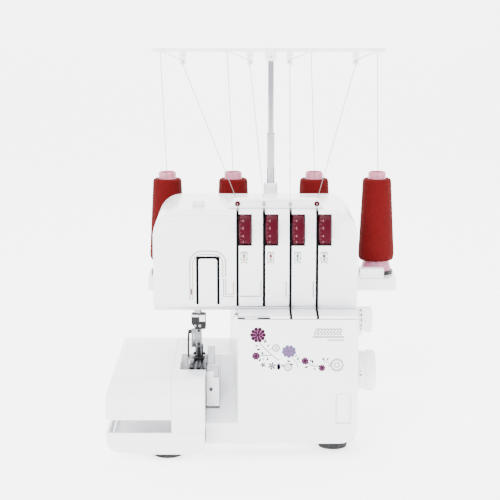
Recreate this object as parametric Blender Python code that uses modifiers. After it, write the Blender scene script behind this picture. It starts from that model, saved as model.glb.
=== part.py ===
"""Four-thread overlock machine (serger): casings, mechanism, spool stand, mast, cones and threads.

Metres, +Z up, front towards -Y. The origin is under the middle of the object, on the floor.
"""

import math

import bmesh
import bpy
from mathutils import Matrix, Vector

# Overall places: across (X), depth behind the bed's front (added to FRONT), height (Z)
LEFT = -0.1675
FRONT = -0.141
BED_LENGTH = 0.0722
ARM_WIDTH = 0.0365
CHUTE_WIDTH = 0.0361
COVER_WIDTH = 0.1334
BED_DEPTH = 0.201
BED_TOP = 0.095
BASE_UNDERSIDE = 0.0108
BASE_TOP = 0.035
SLOT_TOP = 0.050
BED_NOSE_RADIUS = 0.019
COVER_SETBACK = 0.028
COVER_BOTTOM = 0.0145
HEAD_SETBACK = 0.062
HEAD_SPLIT = 0.125
BODY_DEPTH = 0.195
COLUMN_SETBACK = 0.163
HEAD_OVERHANG = 0.0947
HEAD_BOTTOM = 0.157
HEAD_TOP = 0.272
HEAD_CORNER = 0.027
HEAD_NOSE_RADIUS = 0.014
SHELF_THICKNESS = 0.003
WALL = 0.003
GAP = 0.0003
CLEARANCE = 0.0006

# Chute
CHUTE_LIP = 0.038
CHUTE_BACK = 0.111
CHUTE_CURVE = 0.6
CHUTE_STEPS = 7

# Shafts and what turns on them
SHAFT_RADIUS = 0.005
SHAFT_HEIGHT = 0.0857
SHAFT_SETBACK = 0.080
SHAFT_START = 0.0
HANDWHEEL_RADIUS = 0.023
HANDWHEEL_WIDTH = 0.0226
BELT_PULLEY_RADIUS = 0.021
BELT_THICKNESS = 0.0022
BELT_WIDTH = 0.006
BELT_INSET = 0.0127
MOTOR_RADIUS = 0.026
MOTOR_LENGTH = 0.070
MOTOR_SETBACK = 0.155
MOTOR_HEIGHT = 0.070
MOTOR_PULLEY_RADIUS = 0.007

UPRIGHT_INSETS = (0.1007, 0.0327)
UPRIGHT_WIDTH = 0.008
ARM_BOTTOM = 0.205
UPRIGHT_HALF = 0.012

# Dials
DIAL_HEIGHT = 0.145
DIAL_RADIUS = 0.01425
DIAL_WIDTH = 0.0178
FEED_DIAL_RADIUS = 0.011
FEED_DIAL_SETBACK = 0.150
FEED_DIAL_HEIGHT = 0.120
FEED_DIAL_WIDTH = 0.012
TENSION_RADIUS = 0.017
TENSION_WIDTH = 0.014
TENSION_DROP = 0.0217
TENSION_SETBACK = 0.070
FIRST_SLOT_OUTSIDE = 0.0004
SLOT_PITCH = 0.0296
SLOT_WIDTH = 0.003
SLOT_TO_DIAL = 0.0085

# Needle side
NEEDLE_OUTSIDE = 0.0448
NEEDLE_SETBACK = 0.085
NEEDLE_BAR_RADIUS = 0.0036
NEEDLE_SPACING = 0.005
CLAMP_DROP = 0.006
CLAMP_HEIGHT = 0.0175
CLAMP_WIDTH = 0.0165
PRESSER_SETBACK = 0.098
PRESSER_RADIUS = 0.003
PRESSER_BAR_DROP = 0.027
SCREW_RADIUS = 0.007
SCREW_RISE = 0.007
SCREW_SETBACK = 0.098
PLATE_WIDTH = 0.0288
PLATE_FRONT = 0.046
PLATE_BACK = 0.116
PLATE_THICKNESS = 0.0024
FEED_ROWS = (-0.0105, 0.0058)

# Spool stand, mast and cones
STAND_LEFT = -0.1324
STAND_RIGHT = 0.1675
STAND_DROP = 0.003
STAND_THICKNESS = 0.014
STAND_BACK = 0.282
CONE_X = (-0.1097, -0.0296, 0.0687, 0.1452)
CONE_SETBACK = 0.235
CONE_RISE = 0.017
CONE_LENGTH = 0.100
CONE_RADIUS = 0.0218
CONE_TOP_RADIUS = 0.0172
CORE_ABOVE_CONE = 0.008
CORE_TOP_RADIUS = 0.0103
CORE_RADIUS = 0.0155
SKIRT_RADIUS = 0.0185
PIN_RADIUS = 0.003
PIN_BASE_RADIUS = 0.0205
PIN_BASE_HEIGHT = 0.004
MAST_X = 0.0157
MAST_SETBACK = 0.218
SLEEVE_RADIUS = 0.008
SLEEVE_LENGTH = 0.1127
LOWER_TUBE_RADIUS = 0.0045
UPPER_TUBE_RADIUS = 0.0035
MAST_TRAVEL = 0.070
BAR_LEFT = -0.125
BAR_RIGHT = 0.152
BAR_TOP = 0.443
BAR_THICKNESS = 0.005
BAR_DEPTH = 0.007
HOOK_X = (-0.0891, -0.0092, 0.0380, 0.1165)
EYELET_X = (-0.1159, -0.0363, 0.0636, 0.1426)
HOOK_LENGTH = 0.0165
HUMP_LEFT = -0.034
HUMP_RIGHT = 0.0726
HUMP_RISE = 0.011
HUMP_THICKNESS = 0.008
HUMP_SETBACK = 0.085
GUIDE_HOLE_RISE = 0.0053
GUIDE_HOLE_RADIUS = 0.0025
THREAD_RADIUS = 0.0003

FOOT_RADIUS = 0.018
FOOT_PLACES = ((-0.101, 0.036), (0.085, 0.068), (-0.101, 0.170), (0.085, 0.170))
HINGE_SETBACK = 0.036
HINGE_HEIGHT = 0.018
ROD_RADIUS = 0.0025
LUG_HALF = ROD_RADIUS + 0.0008

# Worked out from the sizes above
ARM_LEFT = LEFT + BED_LENGTH
CHUTE_LEFT = ARM_LEFT + ARM_WIDTH
COVER_LEFT = CHUTE_LEFT + CHUTE_WIDTH
RIGHT = COVER_LEFT + COVER_WIDTH
HEAD_LEFT = COVER_LEFT - HEAD_OVERHANG
COLUMN_LEFT = COVER_LEFT - 0.0103
COVER_REACH = HEAD_BOTTOM - GAP - HINGE_HEIGHT
REACH_ROOM = 0.002
SHAFT_END = RIGHT + HANDWHEEL_WIDTH - 0.004
SHELF_TOP = HEAD_BOTTOM + SHELF_THICKNESS
TENSION_HEIGHT = HEAD_TOP - TENSION_DROP
BELT_X = RIGHT - BELT_INSET
UPRIGHT_X = [RIGHT - inset for inset in UPRIGHT_INSETS]
PRESSER_BAR_TOP = HEAD_TOP - PRESSER_BAR_DROP
SCREW_TOP = HEAD_TOP + SCREW_RISE
HUMP_TOP = HEAD_TOP + HUMP_RISE
GUIDE_HOLE_HEIGHT = HEAD_TOP + GUIDE_HOLE_RISE
FIRST_SLOT_X = COVER_LEFT - FIRST_SLOT_OUTSIDE
NEEDLE_X = COVER_LEFT - NEEDLE_OUTSIDE
CLAMP_TOP = HEAD_BOTTOM - CLAMP_DROP
CLAMP_BOTTOM = CLAMP_TOP - CLAMP_HEIGHT
STAND_BOTTOM = HEAD_BOTTOM - STAND_DROP
STAND_TOP = STAND_BOTTOM + STAND_THICKNESS
CONE_BOTTOM = STAND_TOP + CONE_RISE
CONE_TOP = CONE_BOTTOM + CONE_LENGTH
CORE_TOP = CONE_TOP + CORE_ABOVE_CONE
SLEEVE_TOP = STAND_TOP + SLEEVE_LENGTH
BAR_BOTTOM = BAR_TOP - BAR_THICKNESS
HOOK_BOTTOM = BAR_BOTTOM - HOOK_LENGTH

ARC_STEP = math.radians(15)
parts = bpy.data.collections.new("overlock_machine")
cutters = bpy.data.collections.new("cutters")


def y(setback):
    return FRONT + setback


def finish(name, colour, roughness, metallic=0.0):
    material = bpy.data.materials.get(name)
    if material is None:
        material = bpy.data.materials.new(name)
        material.use_nodes = True
        shader = material.node_tree.nodes["Principled BSDF"]
        shader.inputs["Base Color"].default_value = (*colour, 1.0)
        shader.inputs["Roughness"].default_value = roughness
        shader.inputs["Metallic"].default_value = metallic
    return material


def white():
    return finish("white_plastic", (0.86, 0.87, 0.88), 0.25)


def black():
    return finish("black_plastic", (0.03, 0.03, 0.035), 0.45)


def maroon():
    return finish("maroon_plastic", (0.30, 0.02, 0.06), 0.35)


def steel():
    return finish("steel", (0.62, 0.62, 0.64), 0.28, 1.0)


def rubber():
    return finish("rubber", (0.02, 0.02, 0.02), 0.8)


def thread_red():
    return finish("red_thread", (0.36, 0.02, 0.03), 0.8)


def thread_grey():
    return finish("grey_thread", (0.7, 0.66, 0.66), 0.6)


def core_pink():
    return finish("pink_core", (0.85, 0.45, 0.5), 0.3)


def place(obj, material=None):
    """A part goes in the machine's collection; without a material it is a helper, not rendered."""
    if material is None:
        cutters.objects.link(obj)
        obj.hide_render = True
        obj.display_type = "WIRE"
    else:
        parts.objects.link(obj)
        obj.data.materials.append(material)
    return obj


def mesh_object(name, bm, material=None):
    bmesh.ops.recalc_face_normals(bm, faces=bm.faces)
    mesh = bpy.data.meshes.new(name)
    bm.to_mesh(mesh)
    bm.free()
    return place(bpy.data.objects.new(name, mesh), material)


def box(name, low, high, material=None, bevel=0.0, segments=2):
    bm = bmesh.new()
    bmesh.ops.create_cube(bm, size=1.0)
    size = Vector(high) - Vector(low)
    bmesh.ops.scale(bm, vec=size, verts=bm.verts)
    bmesh.ops.translate(bm, vec=Vector(low) + size / 2, verts=bm.verts)
    if bevel:
        bmesh.ops.bevel(bm, geom=bm.edges[:], offset=bevel, segments=segments, affect="EDGES", profile=0.5)
    return mesh_object(name, bm, material)


def rod(name, start, end, radius, material=None, segments=16, end_radius=None):
    """A cylinder or cone between two points."""
    start, end = Vector(start), Vector(end)
    along = end - start
    bm = bmesh.new()
    bmesh.ops.create_cone(bm, cap_ends=True, segments=segments, radius1=radius,
                          radius2=radius if end_radius is None else end_radius, depth=along.length)
    turn = Vector((0, 0, 1)).rotation_difference(along).to_matrix().to_4x4()
    bmesh.ops.transform(bm, matrix=Matrix.Translation((start + end) / 2) @ turn, verts=bm.verts)
    obj = mesh_object(name, bm, material)
    obj.data.shade_smooth()
    obj.data.set_sharp_from_angle(angle=math.radians(40))
    return obj


def rounded(corners):
    """Points of a closed outline whose corners (a, b, radius) are rounded by arcs."""
    points = []
    for index, (a, b, radius) in enumerate(corners):
        here = Vector((a, b))
        if not radius:
            points.append(here)
            continue
        before = (Vector(corners[index - 1][:2]) - here).normalized()
        after = (Vector(corners[(index + 1) % len(corners)][:2]) - here).normalized()
        half = before.angle(after) / 2
        centre = here + (before + after).normalized() * radius / math.sin(half)
        first = here + before * radius / math.tan(half) - centre
        last = here + after * radius / math.tan(half) - centre
        sweep = first.angle_signed(last)
        steps = max(1, round(abs(sweep) / ARC_STEP))
        for step in range(steps + 1):
            points.append(centre + Matrix.Rotation(-sweep * step / steps, 2) @ first)
    return points


def prism(name, corners, axis, low, high, material=None):
    """A flat outline extruded along X (outline in Y, Z), Y (in X, Z) or Z (in X, Y), as a mesh."""
    curve = bpy.data.curves.new(name + "_outline", "CURVE")
    curve.dimensions = "2D"
    curve.fill_mode = "BOTH"
    curve.extrude = (high - low) / 2
    points = rounded(corners)
    spline = curve.splines.new("POLY")
    spline.points.add(len(points) - 1)
    for target, point in zip(spline.points, points):
        target.co = (*point, 0.0, 1.0)
    spline.use_cyclic_u = True
    outline = bpy.data.objects.new(name + "_outline", curve)
    bpy.context.scene.collection.objects.link(outline)
    graph = bpy.context.evaluated_depsgraph_get()
    mesh = bpy.data.meshes.new_from_object(outline.evaluated_get(graph))
    bpy.data.objects.remove(outline)
    bm = bmesh.new()
    bm.from_mesh(mesh)
    turns = {"X": Matrix(((0, 0, 1), (1, 0, 0), (0, 1, 0))), "Y": Matrix(((1, 0, 0), (0, 0, -1), (0, 1, 0))),
             "Z": Matrix.Identity(3)}
    middle = {"X": (1, 0, 0), "Y": (0, 1, 0), "Z": (0, 0, 1)}[axis]
    bmesh.ops.transform(bm, matrix=turns[axis].to_4x4(), verts=bm.verts)
    bmesh.ops.translate(bm, vec=Vector(middle) * (low + high) / 2, verts=bm.verts)
    bmesh.ops.remove_doubles(bm, verts=bm.verts, dist=1e-6)
    bmesh.ops.dissolve_degenerate(bm, edges=bm.edges, dist=1e-6)
    return mesh_object(name, bm, material)


def turned(name, profile, centre, axis="Z", steps=24, material=None, ring=False):
    """A profile of (radius, height), outer side from top to bottom, turned about Z or X through a centre."""
    bm = bmesh.new()
    points = [bm.verts.new((radius, 0.0, height)) for radius, height in profile]
    pairs = list(zip(points, points[1:]))
    if ring:
        pairs.append((points[-1], points[0]))
    for first, second in pairs:
        bm.edges.new((first, second))
    mesh = bpy.data.meshes.new(name)
    bm.to_mesh(mesh)
    bm.free()
    obj = place(bpy.data.objects.new(name, mesh), material)
    screw = obj.modifiers.new("turn", "SCREW")
    screw.steps = steps
    screw.render_steps = steps
    screw.use_merge_vertices = True
    screw.merge_threshold = 1e-6
    screw.use_normal_calculate = False
    obj.location = centre
    if axis == "X":
        obj.rotation_euler = (0.0, math.pi / 2, 0.0)
    return obj


def boolean(target, operation, helpers):
    for helper in helpers:
        modifier = target.modifiers.new(operation.lower(), "BOOLEAN")
        modifier.operation = operation
        modifier.object = helper
    return target


def cut(target, *helpers):
    return boolean(target, "DIFFERENCE", helpers)


def join(target, *helpers):
    return boolean(target, "UNION", helpers)


def keep_common(target, *helpers):
    return boolean(target, "INTERSECT", helpers)


def pivot(obj, point):
    """Moves an object's origin to its joint's axis and leaves its shape where it is."""
    obj.data.transform(Matrix.Translation(obj.location - Vector(point)))
    obj.location = point
    return obj


def wire(name, points, radius, material, sides=2):
    """A round wire through chosen points, on a straight-sided curve with filled ends."""
    curve = bpy.data.curves.new(name, "CURVE")
    curve.dimensions = "3D"
    curve.bevel_depth = radius
    curve.bevel_resolution = sides - 1
    curve.use_fill_caps = True
    spline = curve.splines.new("POLY")
    spline.points.add(len(points) - 1)
    for target, point in zip(spline.points, points):
        target.co = (*point, 1.0)
    obj = bpy.data.objects.new(name, curve)
    parts.objects.link(obj)
    curve.materials.append(material)
    return obj


def bed_profile(bottom, inset=0.0):
    radius = BED_NOSE_RADIUS - inset
    return ((y(inset), bottom, 0.0), (y(BED_DEPTH - inset), bottom, 0.0),
            (y(BED_DEPTH - inset), BED_TOP - inset, 0.004), (y(inset), BED_TOP - inset, radius))


def make_base():
    outline = ((LEFT, BASE_TOP, 0.0), (LEFT + 0.002, BASE_UNDERSIDE + 0.004, 0.012),
               (LEFT + 0.035, BASE_UNDERSIDE, 0.0), (RIGHT - 0.002, BASE_UNDERSIDE, 0.006),
               (RIGHT - 0.002, BASE_TOP, 0.0))
    base = prism("base_pan", outline, "Y", y(0.0), y(BED_DEPTH), white())
    front = HINGE_SETBACK + 0.010
    top = BASE_TOP + 0.01
    cut(base, box("base_front", (CHUTE_LEFT, y(-0.01), 0.0), (RIGHT + 0.01, y(front), top)),
        box("base_hollow_left", (LEFT + WALL, y(WALL), BASE_UNDERSIDE + 0.0075),
            (CHUTE_LEFT, y(BED_DEPTH - WALL), top)),
        box("base_hollow", (CHUTE_LEFT - 0.01, y(front + WALL), BASE_UNDERSIDE + WALL),
            (RIGHT - 0.002 - WALL, y(BED_DEPTH - WALL), top)))
    for index, middle in enumerate((CHUTE_LEFT + 0.010, RIGHT - 0.040)):
        lug = box(f"base_lug_{index}", (middle - 0.003, y(HINGE_SETBACK) - LUG_HALF, HINGE_HEIGHT - LUG_HALF),
                  (middle + 0.003, y(front + 0.001), HINGE_HEIGHT + LUG_HALF))
        join(base, lug)
    cut(base, rod("base_rod_hole", (CHUTE_LEFT - 0.001, y(HINGE_SETBACK), HINGE_HEIGHT),
                  (RIGHT, y(HINGE_SETBACK), HINGE_HEIGHT), ROD_RADIUS + CLEARANCE / 2, segments=12))
    return base


def make_bed_extension():
    body = prism("bed_extension", bed_profile(SLOT_TOP), "X", LEFT, ARM_LEFT - GAP, white())
    outline = ((LEFT - 0.001, SLOT_TOP - 0.001, 0.0), (ARM_LEFT, SLOT_TOP - 0.001, 0.0),
               (ARM_LEFT, BED_TOP + 0.001, 0.0), (LEFT + 0.006, BED_TOP + 0.001, 0.008),
               (LEFT, BED_TOP - 0.02, 0.0))
    keep_common(body, prism("bed_end", outline, "Y", y(-0.01), y(BED_DEPTH + 0.01)))
    hollow = prism("bed_hollow", bed_profile(SLOT_TOP + WALL, WALL), "X", LEFT + 2 * WALL, ARM_LEFT + 0.01)
    return cut(body, hollow)


def make_free_arm():
    arm = prism("free_arm_cover", bed_profile(BASE_TOP + GAP), "X", ARM_LEFT, CHUTE_LEFT, white())
    cut(arm, prism("arm_hollow", bed_profile(BASE_TOP - 0.01, WALL), "X", ARM_LEFT + WALL, CHUTE_LEFT - WALL),
        box("arm_side", (CHUTE_LEFT - 2 * WALL, y(COVER_SETBACK + WALL), BASE_TOP - 0.01),
            (CHUTE_LEFT + 0.01, y(BED_DEPTH - WALL), BED_TOP - WALL)))
    ledge_right = COLUMN_LEFT - GAP
    join(
        arm,
        box(
            "arm_ledge", (CHUTE_LEFT - 0.01, y(CHUTE_BACK + 2 * GAP), BED_TOP - WALL),
            (ledge_right, y(BED_DEPTH - 0.006), BED_TOP - 0.00002)
        ),
        box(
            "arm_ledge_front",
            (CHUTE_LEFT - 0.009, y(CHUTE_BACK + 2 * GAP) + 0.00002, BED_TOP - WALL + 0.00002),
            (COVER_LEFT - 0.004, y(COLUMN_SETBACK), BED_TOP - 0.00004)
        ),
        box(
            "arm_back", (CHUTE_LEFT - 0.01, y(BODY_DEPTH - WALL), BASE_TOP + GAP),
            (ledge_right, y(BODY_DEPTH), BED_TOP - 0.0005)
        )
    )
    return cut(
        arm,
        box(
            "arm_plate_seat",
            (CHUTE_LEFT - PLATE_WIDTH - GAP, y(PLATE_FRONT - GAP), BED_TOP - WALL - 0.001),
            (CHUTE_LEFT + 0.001, y(PLATE_BACK + GAP), BED_TOP + 0.01)
        )
    )


def make_needle_plate():
    plate = box(
        "needle_plate", (CHUTE_LEFT - PLATE_WIDTH, y(PLATE_FRONT), BED_TOP - PLATE_THICKNESS),
        (CHUTE_LEFT - GAP, y(PLATE_BACK), BED_TOP), finish("dark_steel", (0.16, 0.16, 0.18), 0.3, 1.0)
    )
    for index, across in enumerate(FEED_ROWS):
        middle = NEEDLE_X + across
        cut(
            plate,
            box(f"feed_slot_{index}", (middle - 0.0018, y(0.066), 0.08), (middle + 0.0018, y(0.1), 0.1))
        )
    cut(plate, box("needle_slot", (NEEDLE_X - 0.004, y(NEEDLE_SETBACK - 0.002), 0.08),
                   (NEEDLE_X + 0.0035, y(NEEDLE_SETBACK + 0.002), 0.1)))
    return plate


def chute_height(setback):
    """The chute is shallow at its lip and steep at its back."""
    share = (setback - COVER_SETBACK) / (CHUTE_BACK - COVER_SETBACK)
    return CHUTE_LIP + (BED_TOP - CHUTE_LIP) * (CHUTE_CURVE * share ** 2.2 + (1 - CHUTE_CURVE) * share)


def chute_points():
    run = CHUTE_BACK - COVER_SETBACK
    return [(COVER_SETBACK + run * step / CHUTE_STEPS, chute_height(COVER_SETBACK + run * step / CHUTE_STEPS))
            for step in range(CHUTE_STEPS + 1)]


def reach_points(back):
    """The highest the cover may stand at each depth and still tilt out under the head."""
    steps = 6
    found = []
    for step in range(steps + 1):
        setback = back + (COVER_SETBACK - back) * step / steps
        found.append((setback, HINGE_HEIGHT + math.sqrt(COVER_REACH ** 2 - (setback - HINGE_SETBACK) ** 2)))
    return found


def make_front_cover():
    outline = (
        (CHUTE_LEFT + GAP, COVER_BOTTOM, 0.0), (RIGHT, COVER_BOTTOM, 0.020),
        (RIGHT, HEAD_BOTTOM - 2 * GAP, 0.0), (COVER_LEFT, HEAD_BOTTOM - 2 * GAP, 0.0),
        (COVER_LEFT, CHUTE_LIP, 0.0), (CHUTE_LEFT + GAP, CHUTE_LIP, 0.0)
    )
    cover = prism("front_cover", outline, "Y", y(COVER_SETBACK), y(COVER_SETBACK + WALL), white())
    curve = chute_points()
    slab = [(y(s), z, 0.0) for s, z in curve] + [(y(s), z - WALL * 1.2, 0.0) for s, z in reversed(curve)]
    chute = prism("chute_slab", slab, "X", CHUTE_LEFT + GAP, COVER_LEFT + 0.002)
    back = COVER_SETBACK + 0.024
    side = [(y(COVER_SETBACK + 0.001), BASE_TOP + 2 * GAP, 0.0), (y(back), BASE_TOP + 2 * GAP, 0.0)]
    side += [(y(s), z - GAP, 0.0) for s, z in reach_points(back)[:-1]]
    side += [(y(COVER_SETBACK + 0.001), HEAD_BOTTOM - 2 * GAP, 0.0)]
    wall = [(y(s), z - WALL * 0.5, 0.0) for s, z in curve] + [
        (y(s), z - GAP, 0.0) for s, z in reach_points(CHUTE_BACK)
    ]
    wall_helper = prism("chute_wall", wall, "X", COVER_LEFT - 0.01, COVER_LEFT + 0.01)
    lean = (COVER_LEFT - COLUMN_LEFT) / (COLUMN_SETBACK - COVER_SETBACK)
    far = COVER_LEFT - lean * (CHUTE_BACK - COVER_SETBACK)
    plan = ((COVER_LEFT, y(COVER_SETBACK + 0.0005), 0.0), (COVER_LEFT + WALL, y(COVER_SETBACK + 0.0005), 0.0),
            (far + WALL, y(CHUTE_BACK), 0.0), (far, y(CHUTE_BACK), 0.0))
    leaning = prism("chute_wall_plan", plan, "Z", 0.03, HEAD_BOTTOM)
    keep_common(leaning, wall_helper)
    trim = prism(
        "chute_trim",
        (
            (far + 0.0015, y(CHUTE_BACK + 0.01), 0.0),
            (COVER_LEFT + 0.0015, y(COVER_SETBACK + WALL), 0.0),
            (COVER_LEFT + 0.02, y(COVER_SETBACK + WALL), 0.0),
            (COVER_LEFT + 0.02, y(CHUTE_BACK + 0.01), 0.0)
        ),
        "Z", 0.02, 0.12
    )
    cut(
        chute, trim,
        box("knife_notch", (CHUTE_LEFT - 0.01, y(0.050), 0.02), (CHUTE_LEFT + 0.0155, y(0.12), 0.12))
    )
    join(cover, chute, leaning, prism("cover_side", side, "X", RIGHT - WALL, RIGHT - 0.00002))
    for index, middle in enumerate((CHUTE_LEFT + 0.022, RIGHT - 0.062)):
        join(
            cover,
            box(
                f"cover_lug_{index}", (middle - 0.004, y(COVER_SETBACK + 0.001), HINGE_HEIGHT - 0.0034),
                (middle + 0.004, y(HINGE_SETBACK + 0.005), HINGE_HEIGHT + 0.005)
            )
        )
    cut(cover, rod("cover_rod_hole", (CHUTE_LEFT, y(HINGE_SETBACK), HINGE_HEIGHT),
                   (RIGHT - 0.03, y(HINGE_SETBACK), HINGE_HEIGHT), ROD_RADIUS + CLEARANCE / 2, segments=12),
        box("finger_recess", (RIGHT - 0.0247, y(COVER_SETBACK - 0.01), 0.037),
            (RIGHT - 0.0077, y(COVER_SETBACK + 0.0012), 0.072)))
    return pivot(cover, (COVER_LEFT, y(HINGE_SETBACK), HINGE_HEIGHT))


def head_profile(low_y, high_y, inset=0.0):
    """Side outline of the head between two setbacks; its nose is rounded at the front only."""
    return ((y(low_y), HEAD_BOTTOM + inset, HEAD_NOSE_RADIUS - inset), (y(high_y), HEAD_BOTTOM + inset, 0.0),
            (y(high_y), HEAD_TOP - inset, 0.0), (y(low_y), HEAD_TOP - inset, HEAD_NOSE_RADIUS - inset))


def head_outline(inset=0.0):
    return ((HEAD_LEFT + inset, HEAD_BOTTOM + inset, 0.004), (RIGHT - inset, HEAD_BOTTOM + inset, 0.0),
            (RIGHT - inset, HEAD_TOP - inset, HEAD_CORNER - inset),
            (HEAD_LEFT + inset, HEAD_TOP - inset, HEAD_CORNER - inset))


def make_front_shell():
    shell = prism("front_shell", head_outline(), "Y", y(HEAD_SETBACK), y(HEAD_SPLIT), white())
    keep_common(
        shell,
        prism(
            "head_side", head_profile(HEAD_SETBACK, HEAD_SPLIT + 0.01), "X", HEAD_LEFT - 0.01,
            RIGHT + 0.01
        )
    )
    hollow = prism("head_hollow", head_outline(WALL), "Y", y(HEAD_SETBACK + WALL), y(HEAD_SPLIT + 0.01))
    keep_common(
        hollow,
        prism(
            "head_hollow_side", head_profile(HEAD_SETBACK + WALL, HEAD_SPLIT + 0.02, WALL), "X",
            HEAD_LEFT - 0.01, RIGHT + 0.01
        )
    )
    cut(shell, hollow)
    side = box("head_lower_side", (RIGHT - WALL, y(COVER_SETBACK + 0.0245), BASE_TOP + GAP),
               (RIGHT - 0.00002, y(HEAD_SPLIT - 0.00002), HEAD_BOTTOM + 0.001))
    shelf = box("head_shelf", (COVER_LEFT, y(COVER_SETBACK), HEAD_BOTTOM + GAP),
                (RIGHT - 0.00004, y(HEAD_SETBACK + 0.016), SHELF_TOP))
    lean = (COVER_LEFT - COLUMN_LEFT) / (COLUMN_SETBACK - COVER_SETBACK)
    plan = ((COVER_LEFT - lean * 0.040, y(COVER_SETBACK + 0.040), 0.0),
            (COVER_LEFT - lean * 0.040 + WALL, y(COVER_SETBACK + 0.040), 0.0),
            (COLUMN_LEFT + WALL, y(COLUMN_SETBACK), 0.0), (COLUMN_LEFT, y(COLUMN_SETBACK), 0.0))
    wall = prism("column_wall", plan, "Z", BED_TOP + GAP, HEAD_BOTTOM + 0.001)
    reach = [(y(s), z + REACH_ROOM, 0.0) for s, z in reach_points(CHUTE_BACK + GAP)]
    above = [(y(CHUTE_BACK + GAP), BED_TOP, 0.0)] + reach[:-1] + [
        (y(COVER_SETBACK + 0.02), HEAD_BOTTOM + 0.002, 0.0),
        (y(HEAD_SPLIT - 0.001), HEAD_BOTTOM + 0.002, 0.0),
        (y(HEAD_SPLIT - 0.001), HEAD_BOTTOM - GAP, 0.0),
        (y(COLUMN_SETBACK + 0.01), HEAD_BOTTOM - GAP, 0.0), (y(COLUMN_SETBACK + 0.01), BED_TOP, 0.0)
    ]
    keep_common(wall, prism("column_wall_side", above, "X", COLUMN_LEFT - 0.01, COVER_LEFT + 0.01))
    join(shell, side, shelf, wall)
    dial_room = TENSION_RADIUS + CLEARANCE
    for index in range(4):
        middle = FIRST_SLOT_X + SLOT_PITCH * index
        dial = middle + SLOT_TO_DIAL
        cut(
            shell,
            box(
                f"thread_slot_{index}", (middle - SLOT_WIDTH / 2, y(HEAD_SETBACK - 0.01), 0.164),
                (middle + SLOT_WIDTH / 2, y(HEAD_SETBACK + 0.022), HEAD_TOP + 0.01)
            ),
            box(
                f"dial_slot_{index}",
                (
                    dial - TENSION_WIDTH / 2 - CLEARANCE, y(HEAD_SETBACK - 0.01),
                    TENSION_HEIGHT - dial_room
                ),
                (
                    dial + TENSION_WIDTH / 2 + CLEARANCE, y(HEAD_SETBACK + 0.015),
                    TENSION_HEIGHT + dial_room
                )
            )
        )
    cut(
        shell,
        rod(
            "needle_bar_hole", (NEEDLE_X, y(NEEDLE_SETBACK), 0.15), (NEEDLE_X, y(NEEDLE_SETBACK), 0.17),
            NEEDLE_BAR_RADIUS + CLEARANCE, segments=12
        ),
        rod(
            "presser_hole", (NEEDLE_X, y(PRESSER_SETBACK), 0.15), (NEEDLE_X, y(PRESSER_SETBACK), 0.17),
            PRESSER_RADIUS + CLEARANCE, segments=12
        ),
        rod(
            "screw_hole", (NEEDLE_X, y(SCREW_SETBACK), 0.26), (NEEDLE_X, y(SCREW_SETBACK), 0.28),
            SCREW_RADIUS + CLEARANCE, segments=12
        ),
        rod(
            "wheel_hole", (RIGHT - 0.02, y(SHAFT_SETBACK), SHAFT_HEIGHT),
            (RIGHT + 0.01, y(SHAFT_SETBACK), SHAFT_HEIGHT), SHAFT_RADIUS + CLEARANCE, segments=12
        ),
        rod(
            "dial_hole", (RIGHT - 0.02, y(SHAFT_SETBACK), DIAL_HEIGHT),
            (RIGHT + 0.01, y(SHAFT_SETBACK), DIAL_HEIGHT), SHAFT_RADIUS + CLEARANCE, segments=12
        )
    )
    for index, across in enumerate(UPRIGHT_X):
        cut(
            shell,
            box(
                f"upright_room_{index}",
                (across - CLEARANCE, y(SHAFT_SETBACK - UPRIGHT_HALF) - CLEARANCE, 0.15),
                (across + UPRIGHT_WIDTH + CLEARANCE, y(SHAFT_SETBACK + UPRIGHT_HALF) + CLEARANCE, 0.165)
            )
        )
    cut(
        shell,
        box(
            "take_up_slot_left", (-0.0695, y(HEAD_SETBACK - 0.01), 0.166),
            (-0.0666, y(HEAD_SETBACK + 0.006), 0.221)
        ),
        box(
            "take_up_slot_top", (-0.0676, y(HEAD_SETBACK - 0.01), 0.2181),
            (-0.0451, y(HEAD_SETBACK + 0.006), 0.221)
        ),
        box(
            "take_up_slot_right", (-0.0461, y(HEAD_SETBACK - 0.01), 0.166),
            (-0.0432, y(HEAD_SETBACK + 0.006), 0.2205)
        )
    )
    return shell


def make_rear_shell():
    front = HEAD_SPLIT + GAP
    shell = prism("rear_shell", head_outline(), "Y", y(front), y(BODY_DEPTH), white())
    lower = box("column_outer", (COLUMN_LEFT, y(COLUMN_SETBACK + GAP), BASE_TOP + GAP),
                (RIGHT - 0.00002, y(BODY_DEPTH - 0.00002), HEAD_BOTTOM + 0.01))
    lower_side = box("column_side", (RIGHT - WALL, y(front + 0.00002), BASE_TOP + GAP),
                     (RIGHT - 0.00004, y(COLUMN_SETBACK + 0.01), HEAD_BOTTOM + 0.01))
    join(shell, lower, lower_side)
    hollow = prism("rear_hollow", head_outline(WALL), "Y", y(front - 0.01), y(BODY_DEPTH - WALL))
    cut(shell, hollow, box("column_hollow", (COLUMN_LEFT + WALL, y(front - 0.01), BASE_TOP - 0.01),
                           (RIGHT - WALL - 0.00002, y(BODY_DEPTH - WALL), HEAD_BOTTOM + 0.01)),
        rod("feed_dial_hole", (RIGHT - 0.02, y(FEED_DIAL_SETBACK), FEED_DIAL_HEIGHT),
            (RIGHT + 0.01, y(FEED_DIAL_SETBACK), FEED_DIAL_HEIGHT), SHAFT_RADIUS + CLEARANCE, segments=12),
        box("switch_hole", (RIGHT - 0.01, y(0.142), 0.044), (RIGHT + 0.01, y(0.156), 0.064)),
        box("inlet_hole", (RIGHT - 0.01, y(0.164), 0.044), (RIGHT + 0.01, y(0.184), 0.060)),
        box("lifter_hole", (NEEDLE_X - 0.0095, y(0.142), 0.15), (NEEDLE_X - 0.0005, y(0.176), 0.162)),
        rod("left_fixing_hole", (-0.098, y(0.15), 0.15), (-0.098, y(0.15), 0.165), 0.002, segments=8))
    return shell


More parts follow.
